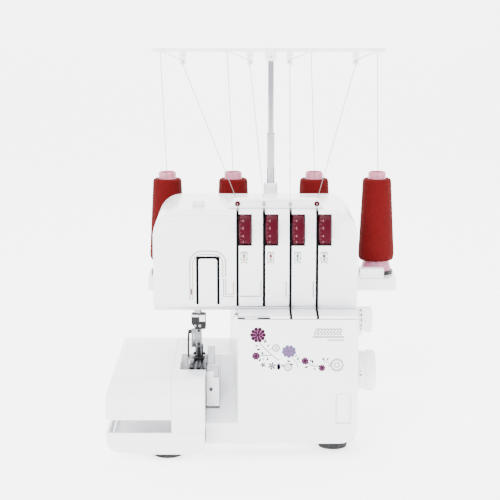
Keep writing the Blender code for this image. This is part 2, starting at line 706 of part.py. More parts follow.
def make_chassis():
    """The cast frame: two uprights on a foot, and the arm that carries the bars."""
    depth = 0.012
    foot_z = BASE_UNDERSIDE + WALL + GAP
    low_y, high_y = y(SHAFT_SETBACK - UPRIGHT_HALF), y(SHAFT_SETBACK + UPRIGHT_HALF)
    chassis = box(
        "chassis", (UPRIGHT_X[0] - 0.010, y(0.060), foot_z), (BELT_X - 0.006, y(0.118), foot_z + 0.006),
        finish("cast_metal", (0.4, 0.41, 0.42), 0.5, 0.9)
    )
    uprights = [box(f"upright_{index}", (x, low_y, foot_z + 0.004), (x + UPRIGHT_WIDTH, high_y, 0.222))
                for index, x in enumerate(UPRIGHT_X)]
    arm = box(
        "frame_arm", (NEEDLE_X - 0.0205, y(SHAFT_SETBACK + 0.008), ARM_BOTTOM),
        (UPRIGHT_X[1] + UPRIGHT_WIDTH, y(SHAFT_SETBACK + 0.030), ARM_BOTTOM + depth)
    )
    nose = box(
        "frame_nose", (NEEDLE_X - 0.0165, y(NEEDLE_SETBACK - 0.008), ARM_BOTTOM - 0.029),
        (NEEDLE_X + 0.0155, y(PRESSER_SETBACK + 0.012), ARM_BOTTOM + 0.004)
    )
    join(chassis, *uprights, arm, nose)
    cut(
        chassis,
        rod(
            "shaft_bore", (-0.01, y(SHAFT_SETBACK), SHAFT_HEIGHT),
            (0.11, y(SHAFT_SETBACK), SHAFT_HEIGHT), SHAFT_RADIUS + CLEARANCE / 2, segments=16
        ),
        rod(
            "needle_bar_bore", (NEEDLE_X, y(NEEDLE_SETBACK), 0.16), (NEEDLE_X, y(NEEDLE_SETBACK), 0.23),
            NEEDLE_BAR_RADIUS + CLEARANCE / 2, segments=16
        ),
        rod(
            "presser_bore", (NEEDLE_X, y(PRESSER_SETBACK), 0.16), (NEEDLE_X, y(PRESSER_SETBACK), 0.23),
            PRESSER_RADIUS + CLEARANCE / 2, segments=16
        )
    )
    return chassis


def make_drive():
    centre = (0.0, y(SHAFT_SETBACK), SHAFT_HEIGHT)
    shaft = rod(
        "main_shaft", (SHAFT_START, centre[1], centre[2]), (SHAFT_END, centre[1], centre[2]),
        SHAFT_RADIUS, steel()
    )
    pivot(shaft, centre)
    groove = BELT_PULLEY_RADIUS
    join(
        shaft,
        turned(
            "belt_wheel",
            (
                (0.0, 0.005), (groove + 0.002, 0.005), (groove, 0.0038), (groove, -0.0038),
                (groove + 0.002, -0.005), (0.0, -0.005)
            ),
            (BELT_X, centre[1], centre[2]), "X", 24
        )
    )
    hub = SHAFT_RADIUS + GAP
    wheel_profile = ((0.010, 0.0), (HANDWHEEL_RADIUS - 0.004, 0.0), (HANDWHEEL_RADIUS, -0.005),
                     (HANDWHEEL_RADIUS, -0.015), (HANDWHEEL_RADIUS - 0.003, 0.002 - HANDWHEEL_WIDTH),
                     (hub, 0.002 - HANDWHEEL_WIDTH), (hub, -0.003), (0.010, -0.003))
    outside = RIGHT + HANDWHEEL_WIDTH
    turned("handwheel", wheel_profile, (outside, centre[1], centre[2]), "X", 24, white(), ring=True)
    motor_centre = (BELT_X, y(MOTOR_SETBACK), MOTOR_HEIGHT)
    small = MOTOR_PULLEY_RADIUS
    shaft_hole = 0.0022
    turned(
        "motor_pulley",
        (
            (small + 0.002, 0.005), (small, 0.0038), (small, -0.0038), (small + 0.002, -0.005),
            (shaft_hole + GAP, -0.005), (shaft_hole + GAP, 0.005)
        ),
        motor_centre, "X", 16, steel(), ring=True
    )
    motor_end = BELT_X - 0.008
    motor_start = motor_end - MOTOR_LENGTH
    motor = rod(
        "motor", (motor_start, motor_centre[1], MOTOR_HEIGHT),
        (motor_end, motor_centre[1], MOTOR_HEIGHT), MOTOR_RADIUS, black(), 24
    )
    join(
        motor,
        rod(
            "motor_spindle", (motor_end - 0.01, motor_centre[1], MOTOR_HEIGHT),
            (BELT_X + 0.005, motor_centre[1], MOTOR_HEIGHT), shaft_hole, segments=12
        ),
        box(
            "motor_mount", (motor_start + 0.01, motor_centre[1] - 0.012, BASE_UNDERSIDE + WALL + GAP),
            (motor_end - 0.01, motor_centre[1] + 0.012, MOTOR_HEIGHT)
        )
    )
    make_belt(centre, motor_centre)


def belt_loop(first, second, first_radius, second_radius):
    """Outline of an open belt around two pulleys, as points in Y and Z."""
    line = Vector((second[1] - first[1], second[2] - first[2]))
    heading = math.atan2(line.y, line.x)
    spread = math.acos((first_radius - second_radius) / line.length)
    points = []
    steps = 12
    for step in range(steps + 1):
        angle = heading + spread + (2 * math.pi - 2 * spread) * step / steps
        points.append(
            (first[1] + first_radius * math.cos(angle), first[2] + first_radius * math.sin(angle), 0.0)
        )
    for step in range(steps + 1):
        angle = heading - spread + 2 * spread * step / steps
        points.append((second[1] + second_radius * math.cos(angle), second[2] + second_radius * math.sin(angle), 0.0))
    return points


def make_belt(first, second):
    inner = GAP * 3
    outer = inner + BELT_THICKNESS
    belt = prism(
        "drive_belt", belt_loop(first, second, BELT_PULLEY_RADIUS + outer, MOTOR_PULLEY_RADIUS + outer),
        "X", BELT_X - BELT_WIDTH / 2, BELT_X + BELT_WIDTH / 2, rubber()
    )
    return cut(
        belt,
        prism(
            "belt_hollow",
            belt_loop(first, second, BELT_PULLEY_RADIUS + inner, MOTOR_PULLEY_RADIUS + inner), "X",
            BELT_X - BELT_WIDTH, BELT_X + BELT_WIDTH
        )
    )


def make_knob(name, setback, height, radius, width, material):
    """A round knob on the right side, with its spindle through the wall."""
    outside = RIGHT + GAP * 2 + width
    profile = (
        (0.0, 0.0), (radius - 0.0015, 0.0), (radius, -0.0015), (radius, -width), (SHAFT_RADIUS, -width),
        (SHAFT_RADIUS, -width - 0.009), (0.0, -width - 0.009)
    )
    return turned(name, profile, (outside, y(setback), height), "X", 24, material)


def make_tension_dials():
    for index in range(4):
        middle = FIRST_SLOT_X + SLOT_PITCH * index + SLOT_TO_DIAL
        half = TENSION_WIDTH / 2
        profile = ((0.0, half), (TENSION_RADIUS - 0.002, half), (TENSION_RADIUS, half - 0.002),
                   (TENSION_RADIUS, 0.002 - half), (TENSION_RADIUS - 0.002, -half), (0.0, -half))
        turned(
            f"tension_dial_{index + 1}", profile, (middle, y(TENSION_SETBACK), TENSION_HEIGHT), "X", 24,
            maroon()
        )


def make_needle_side():
    bar = rod(
        "needle_bar", (NEEDLE_X, y(NEEDLE_SETBACK), CLAMP_TOP - 0.001),
        (NEEDLE_X, y(NEEDLE_SETBACK), 0.232), NEEDLE_BAR_RADIUS, steel(), 12
    )
    join(bar, box("clamp_block", (NEEDLE_X - CLAMP_WIDTH / 2, y(NEEDLE_SETBACK - 0.006), CLAMP_BOTTOM),
                  (NEEDLE_X + CLAMP_WIDTH / 2, y(NEEDLE_SETBACK + 0.006), CLAMP_TOP)))
    pivot(bar, (NEEDLE_X, y(NEEDLE_SETBACK), CLAMP_TOP))
    for index, side in enumerate(("left", "right")):
        across = NEEDLE_X + NEEDLE_SPACING * (index - 0.5)
        pivot(
            rod(
                f"{side}_needle", (across, y(NEEDLE_SETBACK), 0.100 + 0.001 * index),
                (across, y(NEEDLE_SETBACK), CLAMP_BOTTOM - GAP), 0.0002, steel(), 8, end_radius=0.0008
            ),
            (NEEDLE_X, y(NEEDLE_SETBACK), CLAMP_TOP)
        )
    presser = (NEEDLE_X, y(PRESSER_SETBACK), 0.12)
    pivot(
        rod(
            "presser_bar", (presser[0], presser[1], 0.112), (presser[0], presser[1], PRESSER_BAR_TOP),
            PRESSER_RADIUS, steel(), 12
        ),
        presser
    )
    foot = box(
        "presser_foot", (NEEDLE_X - 0.010, y(0.045), BED_TOP + GAP),
        (NEEDLE_X + 0.008, y(0.108), BED_TOP + 0.003), black(), 0.0006, 1
    )
    join(
        foot,
        box(
            "foot_ankle", (NEEDLE_X - 0.004, y(PRESSER_SETBACK - 0.004), BED_TOP + 0.001),
            (NEEDLE_X + 0.004, y(PRESSER_SETBACK + 0.005), 0.112 - GAP)
        )
    )
    cut(
        foot,
        box(
            "foot_opening", (NEEDLE_X - 0.0045, y(NEEDLE_SETBACK - 0.004), 0.09),
            (NEEDLE_X + 0.0045, y(NEEDLE_SETBACK + 0.003), 0.1)
        )
    )
    pivot(foot, presser)
    turned(
        "pressure_screw",
        (
            (0.0, 0.010), (SCREW_RADIUS - 0.001, 0.010), (SCREW_RADIUS, 0.009), (SCREW_RADIUS, -0.012),
            (0.0, -0.012)
        ),
        (NEEDLE_X, y(SCREW_SETBACK), SCREW_TOP - 0.010), "Z", 16, white()
    )
    lifter_axis = (NEEDLE_X - 0.005, y(0.150), 0.170)
    outline = (
        (y(0.146), 0.1745, 0.003), (y(0.146), 0.166, 0.003), (y(0.168), 0.134, 0.002),
        (y(0.174), 0.134, 0.002), (y(0.154), 0.1745, 0.003)
    )
    pivot(
        prism("presser_lifter", outline, "X", lifter_axis[0] - 0.003, lifter_axis[0] + 0.003, black()),
        lifter_axis
    )


def make_stitch_parts():
    """Loopers, knives and feed dog, all under or beside the needle plate."""
    pivot(
        prism(
            "lower_looper",
            (
                (-0.088, 0.045, 0.0), (-0.082, 0.045, 0.0), (-0.080, 0.072, 0.0), (-0.072, 0.077, 0.0),
                (-0.072, 0.079, 0.0), (-0.086, 0.075, 0.0)
            ),
            "Y", y(0.078), y(0.0805), steel()
        ),
        (-0.085, y(0.079), 0.047)
    )
    pivot(
        prism(
            "upper_looper",
            (
                (-0.052, 0.044, 0.0), (-0.046, 0.044, 0.0), (-0.050, 0.070, 0.0), (-0.058, 0.080, 0.0),
                (-0.060, 0.079, 0.0), (-0.055, 0.068, 0.0)
            ),
            "Y", y(0.088), y(0.0905), steel()
        ),
        (-0.049, y(0.089), 0.046)
    )
    box(
        "lower_knife", (CHUTE_LEFT + 0.0005, y(0.0575), 0.060),
        (CHUTE_LEFT + 0.0145, y(0.0600), 0.0955), steel(), 0.0006, 1
    )
    pivot(
        box(
            "upper_knife", (CHUTE_LEFT + 0.002, y(0.0608), 0.0975),
            (CHUTE_LEFT + 0.010, y(0.0628), 0.118), steel(), 0.0005, 1
        ),
        (CHUTE_LEFT + 0.006, y(0.062), 0.1)
    )
    feed = box(
        "feed_dog", (NEEDLE_X + FEED_ROWS[0] - 0.002, y(0.070), 0.0855),
        (NEEDLE_X + FEED_ROWS[1] + 0.0015, y(0.096), 0.0915), steel()
    )
    cut(feed, box("feed_window", (NEEDLE_X - 0.006, y(NEEDLE_SETBACK - 0.007), 0.08),
                  (NEEDLE_X + 0.0035, y(NEEDLE_SETBACK + 0.007), 0.1)))
    for index, across in enumerate(FEED_ROWS):
        middle = NEEDLE_X + across
        join(
            feed,
            box(
                f"feed_row_{index}", (middle - 0.0012, y(0.0705), 0.089),
                (middle + 0.0012, y(0.0955), BED_TOP - 0.0002)
            )
        )
    pivot(feed, (NEEDLE_X, y(0.083), 0.088))


def make_stand():
    outline = ((STAND_LEFT, y(BODY_DEPTH + GAP), 0.004), (STAND_RIGHT, y(BODY_DEPTH + GAP), 0.004),
               (STAND_RIGHT, y(STAND_BACK), 0.020), (STAND_LEFT, y(STAND_BACK), 0.020))
    stand = prism("spool_stand", outline, "Z", STAND_BOTTOM, STAND_TOP, white())
    join(stand, box("stand_grip", (0.124, y(0.197), STAND_TOP - 0.004), (0.152, y(0.209), 0.180)))
    bottom = STAND_TOP + GAP
    inner = LOWER_TUBE_RADIUS + CLEARANCE / 2
    centre = (MAST_X, y(MAST_SETBACK), 0.0)
    turned(
        "mast_socket",
        (
            (0.0, bottom + 0.003), (inner, bottom + 0.003), (inner, SLEEVE_TOP),
            (SLEEVE_RADIUS, SLEEVE_TOP), (SLEEVE_RADIUS, bottom), (0.0, bottom)
        ),
        centre, "Z", 20, white()
    )
    upper_hole = UPPER_TUBE_RADIUS + CLEARANCE / 2
    low = bottom + 0.003 + GAP + MAST_TRAVEL
    turned(
        "mast_lower_tube",
        ((LOWER_TUBE_RADIUS, 0.342), (LOWER_TUBE_RADIUS, low), (upper_hole, low), (upper_hole, 0.342)),
        centre, "Z", 16, steel(), ring=True
    )
    bar_join = BAR_BOTTOM - 0.010
    turned(
        "mast_upper_tube",
        (
            (0.0, bar_join), (UPPER_TUBE_RADIUS, bar_join),
            (UPPER_TUBE_RADIUS, low + MAST_TRAVEL + 0.001), (0.0, low + MAST_TRAVEL + 0.001)
        ),
        centre, "Z", 16, steel()
    )
    bar = box(
        "thread_guide_bar", (BAR_LEFT, y(MAST_SETBACK - BAR_DEPTH / 2), BAR_BOTTOM),
        (BAR_RIGHT, y(MAST_SETBACK + BAR_DEPTH / 2), BAR_TOP), white(), 0.001, 1
    )
    join(
        bar,
        rod(
            "bar_socket", (MAST_X, y(MAST_SETBACK), bar_join + GAP),
            (MAST_X, y(MAST_SETBACK), BAR_TOP - 0.0002), 0.0062, segments=16
        )
    )
    for index, across in enumerate(HOOK_X):
        join(
            bar,
            box(
                f"hook_{index}", (across - 0.0012, y(MAST_SETBACK - 0.0016), HOOK_BOTTOM),
                (across + 0.0012, y(MAST_SETBACK + 0.0016), BAR_BOTTOM + 0.001)
            )
        )


def make_cone(index):
    centre = (CONE_X[index], y(CONE_SETBACK), 0.0)
    base = STAND_TOP + GAP
    disc = base + PIN_BASE_HEIGHT
    turned(
        f"spool_pin_{index + 1}",
        (
            (0.0, CORE_TOP - 0.006), (PIN_RADIUS, CORE_TOP - 0.008), (PIN_RADIUS, disc),
            (PIN_BASE_RADIUS, disc), (PIN_BASE_RADIUS, base), (0.0, base)
        ),
        centre, "Z", 16, black()
    )
    thin = 0.0012
    floor = disc + GAP
    turned(
        f"cone_core_{index + 1}",
        (
            (CORE_TOP_RADIUS, CORE_TOP), (CORE_RADIUS, CONE_BOTTOM - GAP), (SKIRT_RADIUS, floor),
            (SKIRT_RADIUS - thin, floor), (CORE_RADIUS - thin, CONE_BOTTOM - 0.002),
            (CORE_TOP_RADIUS - thin, CORE_TOP)
        ),
        centre, "Z", 20, core_pink(), ring=True
    )
    slope = (CORE_RADIUS - CORE_TOP_RADIUS) / (CORE_TOP - CONE_BOTTOM + GAP)
    inner_top = CORE_TOP_RADIUS + slope * (CORE_TOP - CONE_TOP) + GAP * 1.5
    turned(
        f"thread_cone_{index + 1}",
        (
            (inner_top, CONE_TOP), (CONE_TOP_RADIUS - 0.004, CONE_TOP),
            (CONE_TOP_RADIUS, CONE_TOP - 0.004), (CONE_RADIUS, CONE_BOTTOM + 0.008),
            (CONE_RADIUS - 0.003, CONE_BOTTOM), (CORE_RADIUS + GAP * 1.5, CONE_BOTTOM)
        ),
        centre, "Z", 20, thread_red(), ring=True
    )


def make_thread(index):
    """Cone, eyelet, hook, guide hole: taut runs of one thread."""
    cone, eyelet, hook = CONE_X[index], EYELET_X[index], HOOK_X[index]
    hole = FIRST_SLOT_X + SLOT_PITCH * index
    behind = y(MAST_SETBACK + BAR_DEPTH / 2 + 0.0012)
    below = BAR_BOTTOM - 0.008
    points = (
        (cone, y(CONE_SETBACK), CORE_TOP + 0.001), (eyelet, behind, BAR_BOTTOM - 0.001),
        (eyelet, behind, BAR_TOP - 0.002), (eyelet + 0.002, behind, BAR_TOP - 0.001),
        (hook - 0.003, behind, BAR_BOTTOM + 0.0005), (hook - 0.003, behind, below),
        (hook - 0.003, y(MAST_SETBACK - 0.004), below - 0.004),
        (hole, y(HUMP_SETBACK + 0.006), GUIDE_HOLE_HEIGHT),
        (hole, y(HUMP_SETBACK - 0.006), GUIDE_HOLE_HEIGHT)
    )
    return wire(f"thread_{index + 1}", points, THREAD_RADIUS, thread_grey())


def make_guide_plate():
    base = HEAD_TOP + GAP
    outline = (
        (HUMP_LEFT, base, 0.0), (HUMP_RIGHT, base, 0.0), (HUMP_RIGHT - 0.0056, HUMP_TOP, 0.003),
        (HUMP_LEFT + 0.007, HUMP_TOP, 0.003)
    )
    plate = prism(
        "thread_guide_plate", outline, "Y", y(HUMP_SETBACK - HUMP_THICKNESS / 2),
        y(HUMP_SETBACK + HUMP_THICKNESS / 2), white()
    )
    for index in range(4):
        across = FIRST_SLOT_X + SLOT_PITCH * index
        cut(plate, rod(f"guide_hole_{index}", (across, y(HUMP_SETBACK - 0.01), GUIDE_HOLE_HEIGHT),
                       (across, y(HUMP_SETBACK + 0.01), GUIDE_HOLE_HEIGHT), GUIDE_HOLE_RADIUS, segments=12))


def make_small_parts():
    make_knob("stitch_length_dial", SHAFT_SETBACK, DIAL_HEIGHT, DIAL_RADIUS, DIAL_WIDTH, white())
    make_knob(
        "differential_feed_dial", FEED_DIAL_SETBACK, FEED_DIAL_HEIGHT, FEED_DIAL_RADIUS,
        FEED_DIAL_WIDTH, white()
    )
    rod_ends = (CHUTE_LEFT + 0.002, RIGHT - 0.012)
    pivot(
        rod(
            "cover_hinge_rod", (rod_ends[0], y(HINGE_SETBACK), HINGE_HEIGHT),
            (rod_ends[1], y(HINGE_SETBACK), HINGE_HEIGHT), ROD_RADIUS, steel(), 12
        ),
        (COVER_LEFT, y(HINGE_SETBACK), HINGE_HEIGHT)
    )
    for index, (across, setback) in enumerate(FOOT_PLACES):
        turned(
            f"foot_{index + 1}",
            (
                (0.0, BASE_UNDERSIDE - GAP), (FOOT_RADIUS - 0.001, BASE_UNDERSIDE - GAP),
                (FOOT_RADIUS, 0.008), (FOOT_RADIUS - 0.002, 0.0), (0.0, 0.0)
            ),
            (across, y(setback), 0.0), "Z", 20, rubber()
        )
    switch_axis = (RIGHT - 0.003, y(0.149), 0.054)
    pivot(
        prism(
            "power_switch",
            (
                (RIGHT - 0.0065, 0.0465, 0.0), (RIGHT - 0.0065, 0.0615, 0.0),
                (RIGHT + 0.0026, 0.0620, 0.001), (RIGHT + 0.0004, 0.054, 0.002),
                (RIGHT + 0.0008, 0.0460, 0.001)
            ),
            "Y", y(0.1435), y(0.1545), black()
        ),
        switch_axis
    )
    inlet = box(
        "power_inlet", (RIGHT - 0.018, y(0.1645), 0.0445), (RIGHT + 0.0008, y(0.1835), 0.0595), black()
    )
    cut(inlet, box("inlet_socket", (RIGHT - 0.014, y(0.1675), 0.0475), (RIGHT + 0.01, y(0.1805), 0.0565)))


def main():
    for obj in list(bpy.data.objects):
        bpy.data.objects.remove(obj)
    bpy.context.scene.collection.children.link(parts)
    bpy.context.scene.collection.children.link(cutters)
    make_base()
    make_bed_extension()
    make_free_arm()
    make_needle_plate()
    make_front_cover()
    make_front_shell()
    make_rear_shell()
    make_guide_plate()
    make_chassis()
    make_drive()
    make_tension_dials()
    make_needle_side()
    make_stitch_parts()
    make_stand()
    for index in range(4):
        make_cone(index)
        make_thread(index)
    make_small_parts()


main()
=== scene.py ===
"""Looks of the four-thread overlock machine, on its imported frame. Metres, +Z up, front towards -Y."""

import math

import bmesh
import bpy
from mathutils import Matrix, Vector


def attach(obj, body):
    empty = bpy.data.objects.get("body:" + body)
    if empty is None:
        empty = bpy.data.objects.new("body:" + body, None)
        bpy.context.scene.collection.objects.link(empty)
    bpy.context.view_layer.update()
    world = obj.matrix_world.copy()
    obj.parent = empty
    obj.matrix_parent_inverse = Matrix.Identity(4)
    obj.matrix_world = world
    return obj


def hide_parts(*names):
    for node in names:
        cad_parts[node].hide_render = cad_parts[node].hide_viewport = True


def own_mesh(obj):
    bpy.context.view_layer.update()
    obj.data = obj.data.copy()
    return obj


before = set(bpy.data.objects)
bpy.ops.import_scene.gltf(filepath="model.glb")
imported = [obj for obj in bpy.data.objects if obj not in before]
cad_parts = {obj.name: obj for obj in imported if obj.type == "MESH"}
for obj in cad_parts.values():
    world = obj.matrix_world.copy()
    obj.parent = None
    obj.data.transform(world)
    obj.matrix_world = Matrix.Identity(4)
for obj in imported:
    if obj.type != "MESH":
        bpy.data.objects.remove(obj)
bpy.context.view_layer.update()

CAMERA_PLACE = (-0.0092, -1.799, 0.546)
CAMERA_PITCH = 10.47
CAMERA_LENS = 113.04
SENSOR_WIDTH = 36.0
WORLD_STRENGTH = 2.4
LIGHT_TARGET = (0.0, 0.0, 0.18)
LIGHTS = (  # name, place, size, power
    ("key", (-0.7, -1.5, 1.5), (1.3, 1.3), 52),
    ("fill", (1.3, -1.2, 0.6), (1.2, 1.4), 16),
    ("top", (0.0, 0.3, 1.9), (1.8, 1.4), 50),
)
PRINT = 0.00015
MM = 0.001
threads = (1, 2, 3, 4)
MACHINE = "machine"

# Places of the frame's parts, by thread where there are four
CONE_X = (-0.1097, -0.0296, 0.0687, 0.1452)
CONE_Y = 0.094
EYELET_X = (-0.1159, -0.0363, 0.0636, 0.1426)
HOOK_X = (-0.0891, -0.0092, 0.0380, 0.1165)
SLOT_X = (-0.0231, 0.0065, 0.0361, 0.0657)
TENSION_X = (-0.0146, 0.0150, 0.0446, 0.0742)
TENSION_Y, TENSION_Z = -0.071, 0.2503
MAST_X, MAST_Y = 0.0157, 0.077
KNOB_Y = -0.061
WHEEL_Z, STITCH_Z = 0.0857, 0.145
BAR_FRONT = 0.0735
THREAD_Y = 0.0817
GUIDE_Z = 0.2773
GUIDE_FACE = -0.0601


# ---------------------------------------------------------------- materials

def new_material(name, colour, roughness, metallic=0.0, **sockets):
    material = bpy.data.materials.new(name)
    material.use_nodes = True
    shader = material.node_tree.nodes["Principled BSDF"]
    shader.inputs["Base Color"].default_value = (*colour, 1.0)
    shader.inputs["Roughness"].default_value = roughness
    shader.inputs["Metallic"].default_value = metallic
    for socket, value in sockets.items():
        shader.inputs[socket.replace("_", " ")].default_value = value
    return material


def node(material, kind, **settings):
    made = material.node_tree.nodes.new(kind)
    for key, value in settings.items():
        setattr(made, key, value)
    return made


def link(material, start, end):
    material.node_tree.links.new(start, end)


def noise(material, scale, detail=3.0, stretch=(1.0, 1.0, 1.0)):
    """Noise in the object's own coordinates, in metres."""
    place = node(material, "ShaderNodeTexCoord")
    mapping = node(material, "ShaderNodeMapping")
    mapping.inputs["Scale"].default_value = stretch
    texture = node(material, "ShaderNodeTexNoise")
    texture.inputs["Scale"].default_value = scale
    texture.inputs["Detail"].default_value = detail
    link(material, place.outputs["Object"], mapping.inputs["Vector"])
    link(material, mapping.outputs["Vector"], texture.inputs["Vector"])
    return texture.outputs["Fac"]


def vary_roughness(material, source, low, high):
    ranged = node(material, "ShaderNodeMapRange")
    ranged.inputs["From Min"].default_value = 0.3
    ranged.inputs["From Max"].default_value = 0.7
    ranged.inputs["To Min"].default_value = low
    ranged.inputs["To Max"].default_value = high
    link(material, source, ranged.inputs["Value"])
    link(material, ranged.outputs["Result"], material.node_tree.nodes["Principled BSDF"].inputs["Roughness"])


def vary_colour(material, source, first, second):
    ramp = node(material, "ShaderNodeValToRGB")
    ramp.color_ramp.elements[0].position = 0.35
    ramp.color_ramp.elements[0].color = (*first, 1.0)
    ramp.color_ramp.elements[1].position = 0.65
    ramp.color_ramp.elements[1].color = (*second, 1.0)
    link(material, source, ramp.inputs["Fac"])
    link(material, ramp.outputs["Color"], material.node_tree.nodes["Principled BSDF"].inputs["Base Color"])


def add_bump(material, source, strength, distance):
    bump = node(material, "ShaderNodeBump")
    bump.inputs["Strength"].default_value = strength
    bump.inputs["Distance"].default_value = distance
    link(material, source, bump.inputs["Height"])
    link(material, bump.outputs["Normal"], material.node_tree.nodes["Principled BSDF"].inputs["Normal"])
    return bump


def moulded(name, colour, roughness, grain=900.0, depth=0.00004, metallic=0.0, **sockets):
    """Moulded plastic or rubber: fine skin texture, slow change of gloss and of shade."""
    material = new_material(name, colour, roughness, metallic, **sockets)
    vary_roughness(material, noise(material, 35.0, 5.0), roughness * 0.85, roughness * 1.25)
    darker = tuple(part * 0.965 for part in colour)
    vary_colour(material, noise(material, 14.0, 4.0), darker, colour)
    add_bump(material, noise(material, grain, 2.0), 0.35, depth)
    return material


def brushed(name, colour, roughness, stretch):
    """Metal with fine drawn lines across the stretch direction."""
    material = new_material(name, colour, roughness, 1.0)
    lines = noise(material, 700.0, 4.0, stretch)
    vary_roughness(material, lines, roughness * 0.7, roughness * 1.5)
    darker = tuple(part * 0.8 for part in colour)
    vary_colour(material, noise(material, 60.0, 4.0, stretch), darker, colour)
    add_bump(material, lines, 0.25, 0.00002)
    return material


def wound_thread(name, colour):
    """Cross-wound thread on a cone: two families of slanted strands around the object's own Z axis."""
    material = new_material(name, colour, 0.85, Specular_IOR_Level=0.1)
    place = node(material, "ShaderNodeTexCoord")
    split = node(material, "ShaderNodeSeparateXYZ")
    link(material, place.outputs["Object"], split.inputs["Vector"])
    angle = node(material, "ShaderNodeMath", operation="ARCTAN2")
    link(material, split.outputs["Y"], angle.inputs[0])
    link(material, split.outputs["X"], angle.inputs[1])
    strands = []
    for slant in (0.009, -0.009):
        turn = node(material, "ShaderNodeMath", operation="MULTIPLY")
        turn.inputs[1].default_value = slant
        link(material, angle.outputs[0], turn.inputs[0])
        height = node(material, "ShaderNodeMath", operation="ADD")
        link(material, split.outputs["Z"], height.inputs[0])
        link(material, turn.outputs[0], height.inputs[1])
        pitch = node(material, "ShaderNodeMath", operation="MULTIPLY")
        pitch.inputs[1].default_value = 2 * math.pi * 1000
        link(material, height.outputs[0], pitch.inputs[0])
        wave = node(material, "ShaderNodeMath", operation="SINE")
        link(material, pitch.outputs[0], wave.inputs[0])
        strands.append(wave.outputs[0])
    top = node(material, "ShaderNodeMath", operation="MAXIMUM")
    link(material, strands[0], top.inputs[0])
    link(material, strands[1], top.inputs[1])
    ranged = node(material, "ShaderNodeMapRange")
    ranged.inputs["From Min"].default_value = -0.6
    ranged.inputs["From Max"].default_value = 1.0
    link(material, top.outputs[0], ranged.inputs["Value"])
    fuzz = noise(material, 160.0, 4.0, (1.0, 1.0, 6.0))
    mixed = node(material, "ShaderNodeMath", operation="MULTIPLY_ADD")
    mixed.inputs[1].default_value = 0.55
    link(material, ranged.outputs["Result"], mixed.inputs[0])
    link(material, fuzz, mixed.inputs[2])
    # The colour darkens in the grooves between strands and lightens on their crowns: painted shade and
    # painted light, mixed with random fuzz.
    vary_colour(
        material, mixed.outputs[0], tuple(part * 0.45 for part in colour),
        tuple(min(1.0, part * 1.25) for part in colour)
    )
    add_bump(material, mixed.outputs[0], 0.6, 0.0003)
    return material


white = moulded(
    "white_gloss_plastic", (0.86, 0.865, 0.885), 0.24, 1100.0, 0.00002, Coat_Weight=0.25,
    Coat_Roughness=0.12
)
# Near-black for painted shadow: dark strips put in the slots, along the thread runs and under the shelf
# guide, where there is only shade.
shadow_line = moulded("painted_shadow_dark", (0.003, 0.003, 0.004), 0.9, Specular_IOR_Level=0.02)
maroon = moulded("maroon_plastic", (0.040, 0.0006, 0.0055), 0.42, 1000.0, 0.00003, Specular_IOR_Level=0.05)
black = moulded("black_plastic", (0.006, 0.006, 0.007), 0.45, Specular_IOR_Level=0.25)
rubber = moulded("black_rubber", (0.012, 0.012, 0.013), 0.8, 500.0, 0.0001)
foot_metal = brushed("blackened_foot_steel", (0.07, 0.07, 0.078), 0.3, (1.0, 0.06, 1.0))
pink = moulded(
    "pink_core_plastic", (0.50, 0.17, 0.25), 0.25, Transmission_Weight=0.1, Subsurface_Weight=0.3,
    Subsurface_Scale=0.004
)
steel = brushed("ground_steel", (0.36, 0.36, 0.38), 0.26, (1.0, 1.0, 0.06))
dark_plate = brushed("dark_plate_steel", (0.045, 0.045, 0.052), 0.32, (1.0, 0.06, 1.0))
chrome = brushed("chrome_tube", (0.42, 0.42, 0.45), 0.09, (1.0, 1.0, 0.02))
cast = moulded("cast_frame", (0.12, 0.12, 0.13), 0.5, 300.0, 0.0002, metallic=0.8)
red_thread = wound_thread("wound_red_thread", (0.062, 0.0009, 0.0012))
grey_thread = new_material("grey_sewing_thread", (0.60, 0.55, 0.56), 0.7)
add_bump(grey_thread, noise(grey_thread, 2500.0, 2.0), 0.5, 0.0001)
vary_colour(grey_thread, noise(grey_thread, 900.0), (0.15, 0.14, 0.14), (0.20, 0.185, 0.185))


def ink(name, colour):
    """Printed ink, a little uneven."""
    material = new_material(name, colour, 0.5, Specular_IOR_Level=0.08)
    vary_colour(material, noise(material, 400.0, 3.0), tuple(part * 0.88 for part in colour), colour)
    vary_roughness(material, noise(material, 250.0), 0.44, 0.6)
    return material


ink_purple = ink("ink_purple", (0.027, 0.0022, 0.016))
ink_lavender = ink("ink_lavender", (0.090, 0.075, 0.155))
ink_grey = ink("ink_grey", (0.11, 0.11, 0.125))
# Dark ink for print, also used as painted shade in the set screws' slots.
dark_ink_and_slot_shade = ink("dark_ink_and_slot_shade", (0.006, 0.005, 0.007))
ink_pink = ink("ink_pink", (0.26, 0.075, 0.19))
# Pale grey, used as painted shade along the finger recess's rim, not as print.
painted_recess_shade = ink("painted_recess_shade", (0.55, 0.55, 0.58))
ink_dial = ink("ink_dial", (0.22, 0.10, 0.11))
ink_orange = ink("ink_orange", (0.26, 0.135, 0.045))
ink_red = ink("ink_red", (0.13, 0.008, 0.014))
ink_green = ink("ink_green", (0.05, 0.17, 0.10))


# ---------------------------------------------------------------- shape helpers

def keep(bm, name, material, body=MACHINE, place=(0.0, 0.0, 0.0), smooth=35.0):
    """A finished mesh becomes a piece that rides on a body."""
    bmesh.ops.recalc_face_normals(bm, faces=bm.faces)
    mesh = bpy.data.meshes.new(name)
    bm.to_mesh(mesh)
    bm.free()
    obj = bpy.data.objects.new(name, mesh)
    bpy.context.scene.collection.objects.link(obj)
    obj.location = place
    obj.data.materials.append(material)
    mesh.shade_smooth()
    mesh.set_sharp_from_angle(angle=math.radians(smooth))
    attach(obj, body)
    return obj


